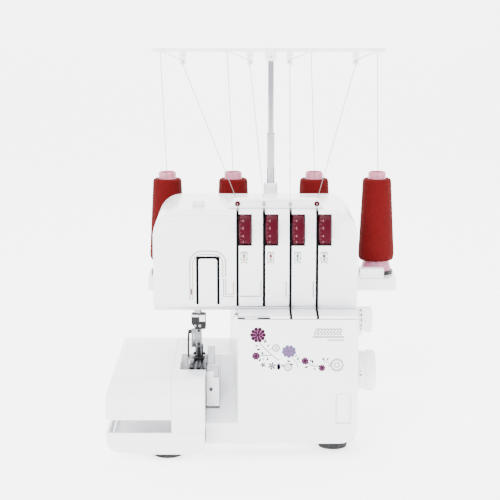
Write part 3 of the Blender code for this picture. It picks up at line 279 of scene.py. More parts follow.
def add_block(bm, low, high, bevel=0.0, segments=2):
    """A block with rounded edges, added to a mesh."""
    made = bmesh.ops.create_cube(bm, size=1.0)["verts"]
    size = Vector(high) - Vector(low)
    bmesh.ops.scale(bm, vec=size, verts=made)
    bmesh.ops.translate(bm, vec=Vector(low) + size / 2, verts=made)
    if bevel:
        edges = {edge for vert in made for edge in vert.link_edges}
        bmesh.ops.bevel(bm, geom=list(edges), offset=bevel, segments=segments, affect="EDGES", profile=0.5)


def add_rod(bm, start, end, radius, segments=24, end_radius=None):
    start, end = Vector(start), Vector(end)
    along = end - start
    turn = Vector((0, 0, 1)).rotation_difference(along).to_matrix().to_4x4()
    bmesh.ops.create_cone(bm, cap_ends=True, segments=segments, radius1=radius,
                          radius2=radius if end_radius is None else end_radius, depth=along.length,
                          matrix=Matrix.Translation((start + end) / 2) @ turn)


TURNS = {"X": "Y", "Y": "X"}


def add_lathe(bm, profile, centre, axis="Z", segments=48, closed=False):
    """A profile of (radius, height) turned about an axis through a centre."""
    turn = Matrix.Rotation(math.pi / 2, 4, TURNS[axis]) if axis in TURNS else Matrix.Identity(4)
    place = Matrix.Translation(centre) @ turn
    rows = []
    for radius, height in profile:
        if radius < 1e-7:
            rows.append([bm.verts.new(place @ Vector((0, 0, height)))])
            continue
        rows.append([bm.verts.new(place @ Vector((radius * math.cos(a), radius * math.sin(a), height)))
                     for a in (2 * math.pi * step / segments for step in range(segments))])
    pairs = list(zip(rows, rows[1:]))
    if closed:
        pairs.append((rows[-1], rows[0]))
    for upper, lower in pairs:
        for step in range(segments):
            after = (step + 1) % segments
            corners = [
                upper[step % len(upper)], upper[after % len(upper)], lower[after % len(lower)],
                lower[step % len(lower)]
            ]
            face = list(dict.fromkeys(corners))
            if len(face) > 2:
                bm.faces.new(face)


def add_tube(bm, points, radius, sides=10, smooth=6):
    """A round wire along a smooth curve through the points."""
    path = spline_points(points, smooth)
    rings = []
    for index, point in enumerate(path):
        before, after = path[max(0, index - 1)], path[min(len(path) - 1, index + 1)]
        turn = Vector((0, 0, 1)).rotation_difference((after - before).normalized())
        rings.append([bm.verts.new(point + turn @ Vector((radius * math.cos(a), radius * math.sin(a), 0)))
                      for a in (2 * math.pi * step / sides for step in range(sides))])
    for first, second in zip(rings, rings[1:]):
        for step in range(sides):
            after = (step + 1) % sides
            bm.faces.new((first[step], first[after], second[after], second[step]))
    bm.faces.new(list(reversed(rings[0])))
    bm.faces.new(rings[-1])


def spline_points(points, smooth):
    """Points of a Catmull-Rom curve through the given points."""
    given = [Vector(point) for point in points]
    if smooth <= 1:
        return given
    found = []
    for index in range(len(given) - 1):
        a = given[max(0, index - 1)]
        b, c = given[index], given[index + 1]
        d = given[min(len(given) - 1, index + 2)]
        for step in range(smooth):
            t = step / smooth
            found.append(0.5 * ((2 * b) + (c - a) * t + (
                2 * a - 5 * b + 4 * c - d
            ) * t * t + (3 * b - a - 3 * c + d) * t ** 3))
    return found + [given[-1]]


def add_flat(bm, outline, y, thick=PRINT):
    """A flat shape in X and Z, facing the front, with a little thickness."""
    front = [bm.verts.new((x, y - thick, z)) for x, z in outline]
    back = [bm.verts.new((x, y, z)) for x, z in outline]
    bm.faces.new(front)
    bm.faces.new(list(reversed(back)))
    count = len(outline)
    for step in range(count):
        after = (step + 1) % count
        bm.faces.new((front[step], back[step], back[after], front[after]))


def add_line(bm, points, width, y, thick=PRINT):
    """A printed line of even width along points in X and Z."""
    given = [Vector(point) for point in points]
    left, right = [], []
    for index, point in enumerate(given):
        before, after = given[max(0, index - 1)], given[min(len(given) - 1, index + 1)]
        along = (after - before).normalized()
        side = Vector((-along.y, along.x)) * width / 2
        left.append(tuple(point + side))
        right.append(tuple(point - side))
    for index in range(len(given) - 1):
        add_flat(bm, (left[index], left[index + 1], right[index + 1], right[index]), y, thick)


def arc(centre, radius, start, end, steps):
    return [
        (
            centre[0] + radius * math.cos(math.radians(start + (end - start) * step / steps)),
            centre[1] + radius * math.sin(math.radians(start + (end - start) * step / steps))
        )
        for step in range(steps + 1)
    ]


# ---------------------------------------------------------------- the frame's own parts

def soften(name, width, material, segments=3):
    """A CAD part keeps its shape and gets rounded edges and its finish."""
    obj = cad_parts[name]
    obj.data.materials.clear()
    obj.data.materials.append(material)
    if width:
        flat = obj.modifiers.new("flat", "DECIMATE")
        flat.decimate_type = "DISSOLVE"
        flat.angle_limit = math.radians(2)
        bevel = obj.modifiers.new("edges", "BEVEL")
        bevel.width = width
        bevel.segments = segments
        bevel.limit_method = "ANGLE"
        bevel.angle_limit = math.radians(32)
        bevel.harden_normals = False
    smooth_shading(obj)


def smooth_shading(obj):
    """Smooth shading with sharp corners, kept out of the CAD mesh by a weighted-normal modifier."""
    weighted = obj.modifiers.new("normals", "WEIGHTED_NORMAL")
    weighted.keep_sharp = True
    weighted.weight = 60


def dress_frame():
    for name in (
        "base_pan", "bed_extension", "free_arm_cover", "front_cover", "front_shell", "rear_shell",
        "spool_stand"
    ):
        soften(name, 0.0007, white)
    for name in (
        "thread_guide_plate", "mast_socket", "pressure_screw", "stitch_length_dial",
        "differential_feed_dial"
    ):
        soften(name, 0.0005, white, 2)
    for name in ("needle_plate", ):
        soften(name, 0.0003, dark_plate, 2)
    for name in ("power_switch", "power_inlet", "presser_lifter"):
        soften(name, 0.0004, black, 2)
    for name in (
        "main_shaft", "motor_pulley", "presser_bar", "upper_looper", "lower_looper", "upper_knife",
        "feed_dog", "cover_hinge_rod", "left_needle", "right_needle"
    ):
        soften(name, 0.0002, steel, 1)
    soften("lower_knife", 0.0003, steel, 2)
    soften("mast_lower_tube", 0.0, chrome)
    soften("mast_upper_tube", 0.0, chrome)
    soften("chassis", 0.0008, cast, 2)
    soften("motor", 0.0, black)
    soften("drive_belt", 0.0, rubber)
    for index in threads:
        soften(f"foot_{index}", 0.0004, rubber, 2)
        soften(f"spool_pin_{index}", 0.0003, black, 2)


# ---------------------------------------------------------------- cones and threads

def turned_piece(name, profile, material, body, place, axis="Z", segments=64, closed=False):
    bm = bmesh.new()
    add_lathe(bm, profile, (0, 0, 0), axis, segments, closed)
    return keep(bm, name, material, body, place)


def cone_profile():
    """Wound thread, a little wavy, with rounded shoulders and a bore."""
    wavy = []
    for step in range(49):
        height = 0.2795 - 0.086 * step / 48
        wavy.append((0.0174 + (0.2795 - height) * 0.0512 + 0.00007 * math.sin(step * 1.9), height))
    top = [(0.0112, 0.2848), (0.0146, 0.2850), (0.0160, 0.2845), (0.0169, 0.2833), (0.01735, 0.2815)]
    return top + wavy + [
        (0.0217, 0.1905), (0.0212, 0.1875), (0.0201, 0.1856), (0.0186, 0.1850), (0.0160, 0.1850)
    ]


def make_cones():
    core = [
        (0.0090, 0.2929), (0.0096, 0.2930), (0.01035, 0.2926), (0.0105, 0.2918), (0.0103, 0.2905),
        (0.0103, 0.2868), (0.0108, 0.2852), (0.01545, 0.1847), (0.0163, 0.1822), (0.0180, 0.1752),
        (0.01845, 0.1735), (0.0184, 0.1726), (0.0173, 0.1726), (0.0144, 0.1830), (0.0091, 0.2900)
    ]
    for index, across in zip(threads, CONE_X):
        place = (across, CONE_Y, 0.0)
        wound = turned_piece(f"wound_cone_{index}", cone_profile(), red_thread, MACHINE, place, closed=True)
        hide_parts(f"thread_cone_{index}")
        tube = turned_piece(f"cone_tube_{index}", core, pink, MACHINE, place, closed=True)
        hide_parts(f"cone_core_{index}")
        bm = bmesh.new()
        for step in range(12):
            angle = step * math.pi / 6
            side = Vector((math.cos(angle), math.sin(angle), 0)) * 0.01035
            add_rod(bm, side + Vector((0, 0, 0.2868)), side + Vector((0, 0, 0.2912)), 0.00035, 8)
        keep(bm, f"cone_ribs_{index}", pink, MACHINE, place)


def make_threads():
    for index in threads:
        cone, eyelet = CONE_X[index - 1], EYELET_X[index - 1]
        hook, hole = HOOK_X[index - 1], SLOT_X[index - 1]
        riser = thread_piece(
            f"thread_riser_{index}",
            (
                (cone, CONE_Y - 0.0109, 0.2870), (cone, CONE_Y - 0.0108, 0.2925),
                (cone, CONE_Y - 0.0102, 0.2937), (eyelet, THREAD_Y, 0.4370)
            ),
            MACHINE
        )
        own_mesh(riser)
        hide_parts(f"thread_{index}")
        thread_piece(
            f"thread_loop_{index}",
            (
                (eyelet, THREAD_Y, 0.4370), (eyelet, THREAD_Y, 0.4385),
                (eyelet * 0.97 + hook * 0.03, THREAD_Y - 0.0004, 0.4390), (hook, 0.0740, 0.4285),
                (hook, 0.0722, 0.4262), (hook, 0.0715, 0.4250)
            ),
            "mast_upper", 4
        )
        dropper = thread_piece(
            f"thread_drop_{index}",
            (
                (hook, 0.0715, 0.4250), (hole, -0.0495, GUIDE_Z + 0.0006),
                (hole, -0.0560, GUIDE_Z + 0.0002), (hole, -0.0622, GUIDE_Z - 0.0012),
                (hole, -0.0652, 0.2742), (hole, -0.0668, 0.2725)
            ),
            MACHINE, 3
        )
        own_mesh(dropper)


def thread_piece(name, points, body, smooth=1):
    bm = bmesh.new()
    add_tube(bm, points, 0.00032, 8, smooth)
    return keep(bm, name, grey_thread, body)


# ---------------------------------------------------------------- mast and guide bar

def make_guide_bar():
    """A slim bar with round eyelet bosses, arms bent down to the hooks, and a cap on the mast."""
    bm = bmesh.new()
    add_block(bm, (-0.1250, BAR_FRONT, 0.4388), (0.1520, 0.0805, 0.4430), 0.0012, 3)
    for across in EYELET_X:
        add_lathe(
            bm,
            (
                (0.0032, 0.0), (0.0058, 0.0), (0.0066, -0.0008), (0.0066, -0.0042), (0.0056, -0.0050),
                (0.0032, -0.0050)
            ),
            (across, 0.0770, 0.4430), "Z", 32, True
        )
    for across, eyelet in zip(HOOK_X, EYELET_X):
        side = -1 if across < eyelet else 1
        add_block(bm, (across - 0.0042, 0.0757, 0.4330), (across + 0.0042, 0.0785, 0.4392), 0.0012, 2)
        add_rod(bm, (across, 0.0771, 0.4345), (across, 0.0771, 0.4265), 0.0034, 20, 0.0030)
        add_lathe(
            bm,
            (
                (0.0013, 0.0016), (0.0034, 0.0016), (0.0041, 0.0008), (0.0041, -0.0008),
                (0.0034, -0.0016), (0.0013, -0.0016)
            ),
            (across, 0.0771, 0.4256), "Z", 24, True
        )
        add_rod(bm, (across, 0.0771, 0.4262), (across - side * 0.0022, 0.0771, 0.4220), 0.0009, 12)
    add_lathe(
        bm,
        (
            (0.0, 0.4430), (0.0058, 0.4430), (0.0068, 0.4422), (0.0068, 0.4290), (0.0062, 0.4283),
            (0.0037, 0.4283)
        ),
        (MAST_X, MAST_Y, 0.0), "Z", 40
    )
    bar = keep(bm, "guide_bar_body", white, "mast_upper")
    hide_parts("thread_guide_bar")
    bm = bmesh.new()
    add_rod(bm, (MAST_X, 0.0700, 0.4335), (MAST_X, 0.0745, 0.4335), 0.0011, 16)
    keep(bm, "guide_bar_pin", steel, "mast_upper")


def make_mast_details():
    """A rolled end on the lower tube, and a clamp ring on the socket."""
    turned_piece(
        "mast_tube_lip",
        ((0.0039, 0.3420), (0.0043, 0.3420), (0.0046, 0.3415), (0.0046, 0.3385), (0.0043, 0.3380)),
        chrome, "mast_lower", (MAST_X, MAST_Y, 0.0)
    )
    turned_piece(
        "mast_collar",
        (
            (0.0049, 0.2822), (0.0076, 0.2822), (0.0082, 0.2816), (0.0082, 0.2740), (0.0080, 0.2736),
            (0.0080, 0.2728)
        ),
        white, MACHINE, (MAST_X, MAST_Y, 0.0)
    )


# ---------------------------------------------------------------- dials

DIGITS = {  # strokes on a grid two wide and four high
    "0": (((0, 1), (0, 3), (1, 4), (2, 3), (2, 1), (1, 0), (0, 1)),),
    "1": (((0.4, 3), (1, 4), (1, 0)),),
    "2": (((0, 3), (1, 4), (2, 3), (0, 0), (2, 0)),),
    "3": (((0, 4), (2, 4), (1, 2.4), (2, 1.2), (1, 0), (0, 0.6)),),
    "4": (((1.6, 0), (1.6, 4), (0, 1.2), (2, 1.2)),),
    "5": (((2, 4), (0.2, 4), (0, 2.2), (1.4, 2.4), (2, 1.2), (1, 0), (0, 0.5)),),
    "6": (((1.8, 4), (0.2, 2), (0, 1), (1, 0), (2, 1), (1, 2.2), (0.1, 1.4)),),
    "7": (((0, 4), (2, 4), (0.7, 0)),),
    "8": (((1, 2.2), (0.1, 3.1), (1, 4), (1.9, 3.1), (1, 2.2), (0, 1), (1, 0), (2, 1), (1, 2.2)),),
    "9": (((0.2, 0), (1.8, 2), (2, 3), (1, 4), (0, 3), (1, 1.8), (1.9, 2.6)),),
}


def add_round_line(bm, points, width, radius, thick=PRINT):
    """A printed line on a drum about X, through points (along the axis, angle), split to follow the drum."""
    for start, end in zip(points, points[1:]):
        start, end = Vector(start), Vector(end)
        steps = max(1, int(abs(end.y - start.y) / 0.10) + 1)
        along = Vector((end.x - start.x, (end.y - start.y) * radius)).normalized()
        side = Vector((-along.y, along.x / radius)) * width / 2
        rows = []
        for step in range(steps + 1):
            middle = start.lerp(end, step / steps)
            rows.append(
                [
                    [
                        bm.verts.new((at.x, -reach * math.cos(at.y), reach * math.sin(at.y)))
                        for reach in (radius - 0.00005, radius + thick)
                    ]
                    for at in (middle + side, middle - side)
                ]
            )
        for (a, b), (c, d) in zip(rows, rows[1:]):
            for quad in (
                (a[1], b[1], d[1], c[1]), (a[0], a[1], c[1], c[0]), (b[1], b[0], d[0], d[1]),
                (b[0], a[0], c[0], d[0])
            ):
                bm.faces.new(quad)
        for row in (rows[0], rows[-1]):
            bm.faces.new((row[0][0], row[0][1], row[1][1], row[1][0]))


def add_digit(bm, text, axis_at, angle, height, radius):
    """Digits upright on a drum about X, around an angle."""
    step = height / 4
    for place, digit in enumerate(text):
        left = axis_at + (place - len(text) / 2) * step * 2.7
        for stroke in DIGITS[digit]:
            add_round_line(
                bm, [(left + across * step, angle + (up - 2) * step / radius) for across, up in stroke],
                step * 0.8, radius
            )


def make_tension_dials():
    """Ribbed rims, a plain middle band with numbers, and rounded shoulders."""
    half = 0.0070
    for index, across in zip(threads, TENSION_X):
        place = (across, TENSION_Y, TENSION_Z)
        profile = (
            (0.0, half), (0.0120, half), (0.0123, half - 0.0006), (0.0150, half - 0.0006),
            (0.0166, half - 0.0010), (0.0170, half - 0.0020), (0.0170, 0.0030 - half),
            (0.0166, 0.0014 - half), (0.0155, 0.0008 - half), (0.0120, -half), (0.0, -half)
        )
        dial = turned_piece(f"tension_drum_{index}", profile, maroon, f"tension_{index}", place, "X", 72)
        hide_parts(f"tension_dial_{index}")
        bm = bmesh.new()
        for step in range(48):
            angle = 2 * math.pi * step / 48
            out = Vector((0, -math.cos(angle), math.sin(angle)))
            start = Vector((half - 0.0022, 0, 0)) + out * 0.01685
            add_rod(bm, start, start + Vector((-0.0030, 0, 0)), 0.00042, 6)
        keep(bm, f"tension_grip_{index}", maroon, f"tension_{index}", place)
        bm = bmesh.new()
        for number in range(10):
            angle = -0.30 + (number - 4) * math.tau / 12
            add_digit(bm, str(number), -0.0020, angle, 0.0026, 0.01700)
            add_round_line(bm, ((-0.0052, angle), (-0.0040, angle)), 0.00035, 0.01700)
            add_round_line(
                bm, ((-0.0052, angle + math.tau / 24), (-0.0044, angle + math.tau / 24)), 0.00028,
                0.01700
            )
        keep(bm, f"tension_marks_{index}", ink_dial, f"tension_{index}", place)


def make_handwheel():
    """A round rim with finger grooves, a raised hub with a ring, and marks for the stitch position."""
    place = (0.1127, KNOB_Y, WHEEL_Z)
    profile = (
        (0.0, 0.0200), (0.0055, 0.0200), (0.0066, 0.0194), (0.0070, 0.0186), (0.0150, 0.0186),
        (0.0160, 0.0192), (0.0170, 0.0204), (0.0200, 0.0206), (0.0219, 0.0200), (0.0228, 0.0188),
        (0.0230, 0.0170), (0.0230, 0.0092), (0.0226, 0.0086), (0.0220, 0.0084), (0.0216, 0.0078),
        (0.0216, 0.0060), (0.0222, 0.0052), (0.0224, 0.0046), (0.0224, 0.0012), (0.0218, 0.0004),
        (0.0, 0.0004)
    )
    wheel = turned_piece("handwheel_rim", profile, white, "drive", place, "X", 96)
    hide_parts("handwheel")
    bm = bmesh.new()
    for step in range(40):
        angle = 2 * math.pi * step / 40
        out = Vector((0, -math.cos(angle), math.sin(angle)))
        add_rod(
            bm, Vector((0.0102, 0, 0)) + out * 0.02285, Vector((0.0168, 0, 0)) + out * 0.02285, 0.00055,
            6
        )
    keep(bm, "handwheel_ribs", white, "drive", place)
    bm = bmesh.new()
    for angle in (0.0, 2.1, 4.2):
        add_round_line(bm, ((0.0016, angle), (0.0044, angle)), 0.0014, 0.0224)
        add_round_line(bm, ((0.0020, angle + 0.20), (0.0036, angle + 0.20)), 0.0008, 0.0224)
    keep(bm, "handwheel_marks", dark_ink_and_slot_shade, "drive", place)


def make_stitch_dial_marks():
    bm = bmesh.new()
    for number in range(1, 6):
        angle = 0.15 + (number - 3) * 0.42
        add_digit(bm, str(number), 0.0050, angle, 0.0034, 0.01430)
        add_round_line(bm, ((0.0016, angle), (0.0030, angle)), 0.0008, 0.01430)
        if number < 5:
            add_round_line(bm, ((0.0022, angle + 0.21), (0.0030, angle + 0.21)), 0.0006, 0.01430)
    keep(bm, "stitch_dial_marks", dark_ink_and_slot_shade, "stitch_length", (0.1113, KNOB_Y, STITCH_Z))
    bm = bmesh.new()
    for step in range(30):
        angle = 2 * math.pi * step / 30
        out = Vector((0, -math.cos(angle), math.sin(angle)))
        add_rod(bm, Vector((0.0098, 0, 0)) + out * 0.01415, Vector((0.0162, 0, 0)) + out * 0.01415, 0.0005, 6)
    keep(bm, "stitch_dial_grip", white, "stitch_length", (0.1113, KNOB_Y, STITCH_Z))


# ---------------------------------------------------------------- printed marks

COVER_FACE = -0.1130
HEAD_FACE = -0.0790


def petal(centre, angle, length, width, point=0.6):
    """An egg-shaped outline from a centre, towards an angle."""
    out = []
    for step in range(14):
        turn = 2 * math.pi * step / 14
        along = length / 2 * (1 - math.cos(turn))
        across = width / 2 * math.sin(turn) * (1 - point * math.cos(turn) * 0.4)
        out.append((
            centre[0] + along * math.cos(angle) - across * math.sin(angle),
            centre[1] + along * math.sin(angle) + across * math.cos(angle)
        ))
    return out


def add_rosette(bm, centre, radius, rings, y, turn=0.0, squeeze=1.0):
    """Overlapping petals in rings: each ring is (share of the radius, count, petal length, petal width)."""
    for level, (share, count, length, width) in enumerate(rings):
        for step in range(count):
            angle = turn + 2 * math.pi * (step + 0.5 * (level % 2)) / count
            start = (
                centre[0] + radius * share * math.cos(angle),
                centre[1] + radius * share * math.sin(angle) * squeeze
            )
            add_flat(bm, petal(start, angle, radius * length, radius * width), y, PRINT * (1 + 0.25 * level))


def add_dots(bm, centre, radius, count, size, y):
    for step in range(count):
        angle = 2 * math.pi * step / count
        at = (centre[0] + radius * math.cos(angle), centre[1] + radius * math.sin(angle))
        add_flat(bm, arc(at, size, 0, 330, 11), y)


def add_stem(bm, start, end, sag, width, y):
    """A stem with a soft bow."""
    start, end = Vector(start), Vector(end)
    side = Vector((end.y - start.y, start.x - end.x)).normalized() * sag
    points = [
        tuple(start.lerp(end, t) + side * 4 * t * (1 - t))
        for t in (0, 0.125, 0.25, 0.375, 0.5, 0.625, 0.75, 0.875, 1)
    ]
    add_line(bm, points, width, y)
    return points


def add_leaves(bm, leaves, y):
    for x, z, degrees, length in leaves:
        add_flat(
            bm, petal((x * MM, z * MM), math.radians(degrees), length * 1.15 * MM, length * 0.55 * MM),
            y
        )


def make_cover_flowers():
    """A spray of stylised flowers across the looper cover."""
    y = COVER_FACE
    purple, lavender, grey, dark = (bmesh.new() for _ in range(4))
    backs = bmesh.new()
    rings = ((0.53, 10, 0.46, 0.45), (0.25, 7, 0.32, 0.33), (0.02, 5, 0.25, 0.20))
    for centre, radius in (
        ((-0.0004, 0.1391), 0.0088), ((-0.0026, 0.1152), 0.0046), ((0.0517, 0.1095), 0.0042),
        ((0.0705, 0.1016), 0.0039)
    ):
        add_flat(backs, arc(centre, radius * 0.80, 0, 345, 23), y, PRINT * 0.6)
    add_rosette(purple, (-0.0004, 0.1391), 0.0088, rings, y)
    add_flat(
        backs, [(0.0339 + 0.0066 * a, 0.1204 + 0.0056 * b) for a, b in arc((0, 0), 1.0, 0, 345, 23)], y,
        PRINT * 0.6
    )
    add_rosette(
        lavender, (0.0339, 0.1204), 0.0083,
        ((0.50, 9, 0.46, 0.47), (0.24, 6, 0.32, 0.34), (0.0, 4, 0.25, 0.22)), y, 0.5, 0.85
    )
    for centre, radius, turn in (
        ((-0.0026, 0.1152), 0.0045, 0.4), ((0.0517, 0.1095), 0.0042, 1.1),
        ((0.0705, 0.1016), 0.0039, 0.2)
    ):
        add_rosette(purple, centre, radius, ((0.40, 8, 0.60, 0.50), (0.02, 5, 0.40, 0.34)), y, turn)
    add_rosette(dark, (0.0152, 0.1038), 0.0044, ((0.30, 6, 0.70, 0.42),), y, 0.3)
    add_rosette(lavender, (0.0152, 0.1038), 0.0018, ((0.0, 5, 0.9, 0.6),), y - PRINT)
    add_rosette(grey, (0.0052, 0.1050), 0.0030, ((0.22, 5, 0.78, 0.55),), y, 0.7)
    add_rosette(dark, (0.0052, 0.1050), 0.0011, ((0.0, 5, 0.9, 0.7),), y - PRINT)
    for centre, radius in (((0.0195, 0.1243), 0.0039), ((0.0329, 0.1027), 0.0042)):
        add_line(grey, arc(centre, radius, 0, 360, 28), 0.00075, y)
        add_line(grey, arc(centre, radius * 0.72, 0, 360, 24), 0.00040, y)
        add_dots(grey, centre, radius * 0.30, 5, 0.00055, y)
    add_dots(dark, (0.0871, 0.1050), 0.0068, 22, 0.00070, y)
    add_line(grey, arc((0.0871, 0.1050), 0.0056, 0, 360, 32), 0.00050, y)
    add_dots(grey, (0.0871, 0.1050), 0.0026, 9, 0.00075, y)
    for start, end, sag in (
        ((0.0018, 0.1300), (0.0229, 0.1107), 0.0012), ((0.0010, 0.1150), (0.0140, 0.1155), -0.0006),
        ((0.0539, 0.1072), (0.0655, 0.1036), 0.0010)
    ):
        add_stem(dark, start, end, sag, 0.00075, y)
    for start, end, sag in (
        ((0.0373, 0.1130), (0.0440, 0.1012), -0.0014), ((0.0716, 0.1084), (0.0805, 0.1055), -0.0010)
    ):
        add_stem(grey, start, end, sag, 0.00060, y)
    add_leaves(
        dark,
        (
            (6.5, 130.0, 62, 3.6), (0.0, 127.0, 190, 3.0), (2.2, 123.2, 195, 3.4),
            (5.4, 116.6, 118, 3.2), (2.4, 112.6, 250, 3.4), (10.8, 113.4, 250, 3.0),
            (10.0, 125.5, 60, 2.6), (35.6, 108.8, 165, 3.4), (38.6, 105.3, 170, 3.2),
            (42.8, 110.4, 60, 3.2), (55.0, 103.8, 215, 3.6), (60.2, 106.6, 100, 3.6),
            (65.5, 103.7, 5, 2.4)
        ),
        y
    )
    add_leaves(
        lavender,
        (
            (21.0, 106.5, -70, 6.0), (23.4, 107.0, -100, 6.8), (25.4, 105.6, -40, 3.4),
            (57.5, 108.2, 80, 2.6), (61.5, 102.0, -60, 2.8), (40.6, 114.2, 50, 2.6),
            (76.8, 104.0, -10, 2.2)
        ),
        y
    )
    add_leaves(
        grey,
        (
            (12.6, 121.6, 60, 2.2), (6.0, 113.0, 250, 2.4), (73.2, 109.6, 120, 3.6),
            (75.6, 109.8, 60, 3.2), (44.8, 107.4, 70, 2.0)
        ),
        y
    )
    for name, bm, material in (
        ("flowers_backs", backs, ink_pink), ("flowers_purple", purple, ink_purple),
        ("flowers_lavender", lavender, ink_lavender), ("flowers_grey", grey, ink_grey),
        ("flowers_dark", dark, dark_ink_and_slot_shade)
    ):
        keep(bm, name, material, "cover")


def make_stitch_emblem():
    """An overlock stitch: two edge lines, loops between them and two needle lines, with a bar below."""
    y = COVER_FACE
    bm = bmesh.new()
    points = []
    for step in range(9):
        points += [(0.0615 + step * 0.0036 + 0.0018, 0.1445), (0.0615 + step * 0.0036, 0.1385)]
    add_line(bm, points, 0.00100, y)
    add_line(bm, ((0.0600, 0.1368), (0.0950, 0.1368)), 0.00110, y)
    for loop in range(8):
        add_line(bm, arc((0.0651 + loop * 0.0036, 0.1448), 0.0013, 0, 180, 8), 0.00085, y)
    keep(bm, "stitch_emblem", ink_purple, "cover")
    bm = bmesh.new()
    for step in range(7):
        add_line(bm, ((0.0766 + step * 0.0026, 0.1333), (0.0782 + step * 0.0026, 0.1333)), 0.0013, y)
    keep(bm, "stitch_emblem_bar", dark_ink_and_slot_shade, "cover")


def rounded_path(half, top, bottom_left, bottom_right, centre_x, corner):
    """A line up the left, round the top and down the right."""
    return ([(centre_x - half, bottom_left)] + arc(
        (centre_x - half + corner, top - corner), corner, 180, 90, 8
    ) + arc((centre_x + half - corner, top - corner), corner, 90, 0, 8) + [(centre_x + half, bottom_right)])


def add_arrow(bm, at, degrees, size, y):
    turn = math.radians(degrees)
    corners = ((size, 0), (-size * 0.6, size * 0.6), (-size * 0.6, -size * 0.6))
    add_flat(
        bm,
        [
            (
                at[0] + a * math.cos(turn) - b * math.sin(turn),
                at[1] + a * math.sin(turn) + b * math.cos(turn)
            ) for a,
            b in corners
        ],
        y
    )


def make_path_lines():
    """Threading paths printed on the head."""
    y = HEAD_FACE
    middle = -0.05635
    gold, violet, dark = bmesh.new(), bmesh.new(), bmesh.new()
    add_line(gold, rounded_path(0.0200, 0.2268, 0.1720, 0.1990, middle, 0.0135), 0.00095, y)
    add_line(gold, rounded_path(0.0168, 0.2230, 0.1720, 0.1990, middle, 0.0105), 0.00075, y)
    add_line(gold, ((-0.0362, 0.1930), (-0.0362, 0.1775), (-0.0276, 0.1775), (-0.0276, 0.1900)), 0.0010, y)
    add_line(violet, ((-0.0386, 0.1930), (-0.0386, 0.1750), (-0.0276, 0.1750)), 0.0008, y)
    for at, degrees in (((-0.0362, 0.1945), 90), ((-0.0386, 0.1945), 90)):
        add_arrow(gold, at, degrees, 0.0013, y)
    for at in ((-0.0364, 0.1985), (-0.0395, 0.1985)):
        add_arrow(gold, at, -90, 0.0013, y)
    for at in ((-0.0764, 0.1722), (-0.0732, 0.1722)):
        add_arrow(violet, at, -90, 0.0012, y)
    add_arrow(dark, (-0.0276, 0.1912), 90, 0.0012, y)
    add_line(dark, ((-0.0748, 0.1840), (-0.0748, 0.1772)), 0.0014, y)
    add_line(violet, ((0.0031, 0.1905), (0.0031, 0.1755), (-0.0182, 0.1755)), 0.0009, y)
    add_arrow(dark, (0.0031, 0.1917), 90, 0.0012, y)
    add_arrow(violet, (-0.0190, 0.1755), 180, 0.0013, y)
    for across, bm in ((0.0312, violet), (0.0615, dark)):
        add_line(bm, ((across, 0.1905), (across, 0.1765)), 0.0009, y)
        add_arrow(bm, (across, 0.1917), 90, 0.0013, y)
        add_arrow(bm, (across, 0.1753), -90, 0.0013, y)
    for name, bm, material in (
        ("path_gold", gold, ink_orange), ("path_violet", violet, ink_lavender),
        ("path_dark", dark, dark_ink_and_slot_shade)
    ):
        keep(bm, name, material)


def make_dial_icons():
    """A small threading icon under each tension dial: a frame, a spool and two loops."""
    y = HEAD_FACE
    for index, across, accent in zip(
        threads, (-0.0158, 0.0140, 0.0440, 0.0734), (ink_orange, ink_red, ink_green, ink_purple)
    ):
        frame_lines, coloured = bmesh.new(), bmesh.new()
        for side in (-1, 1):
            add_line(
                frame_lines, ((across + side * 0.0034, 0.2205), (across + side * 0.0034, 0.2165)),
                0.00075, y
            )
            add_line(
                frame_lines,
                (
                    (across + side * 0.0015, 0.2262), (across + side * 0.0034, 0.2250),
                    (across + side * 0.0034, 0.2222)
                ),
                0.00075, y
            )
            add_line(
                coloured,
                (
                    (across + side * 0.0034, 0.2160), (across + side * 0.0022, 0.2140),
                    (across + side * 0.0037, 0.2128)
                ),
                0.00075, y
            )
        for level in (0.2250, 0.2225, 0.2200, 0.2172):
            add_line(frame_lines, ((across - 0.0019, level), (across + 0.0019, level)), 0.00080, y)
        add_flat(coloured, arc((across, 0.2212), 0.00120, 0, 330, 11), y - PRINT)
        add_line(coloured, ((across, 0.2245), (across, 0.2150)), 0.00075, y - PRINT / 2)
        add_line(coloured, ((across - 0.0012, 0.2150), (across + 0.0014, 0.2138)), 0.00075, y)
        keep(frame_lines, f"dial_icon_{index}", dark_ink_and_slot_shade)
        keep(coloured, f"dial_icon_colour_{index}", accent)


def make_slot_lines():
    """Painted shadow in the slots: dark strips on their floors, round the U-shaped slot, and along the run of
    two of them over the shelf.
    """
    bm = bmesh.new()
    for across in SLOT_X:
        add_block(bm, (across - 0.00147, -0.0786, 0.16405), (across + 0.00147, -0.0770, 0.2588))
    half, top = 0.01173, 0.2196
    add_line(bm, rounded_path(half, top, 0.1662, 0.1662, -0.05635, 0.0040), 0.0028, HEAD_FACE, 0.0001)
    for across in SLOT_X[2:]:
        add_block(bm, (across - 0.0013, -0.1131, 0.15715), (across + 0.0013, -0.0785, 0.16012))
        add_block(bm, (across - 0.0013, -0.0791, 0.1585), (across + 0.0013, -0.0785, 0.1650))
    keep(bm, "slot_shadow_strips", shadow_line)


def make_shelf_guide():
    """The small thread guide under the first two slots, on the shelf's front edge."""
    left, right, shelf_front = -0.0230, 0.0130, -0.1128
    bar_bottom, shelf_top = 0.15860, 0.16000
    bm = bmesh.new()
    add_block(bm, (left, shelf_front - 0.0010, bar_bottom), (right, shelf_front, shelf_top), 0.0002)
    keep(bm, "shelf_guide", chrome)
    bm = bmesh.new()
    for low, high in ((left, -0.0145), (-0.0010, right)):
        add_block(bm, (low, shelf_front - 0.0005, 0.15715), (high, shelf_front, bar_bottom - 0.0002))
    keep(bm, "shelf_guide_shadow", shadow_line)


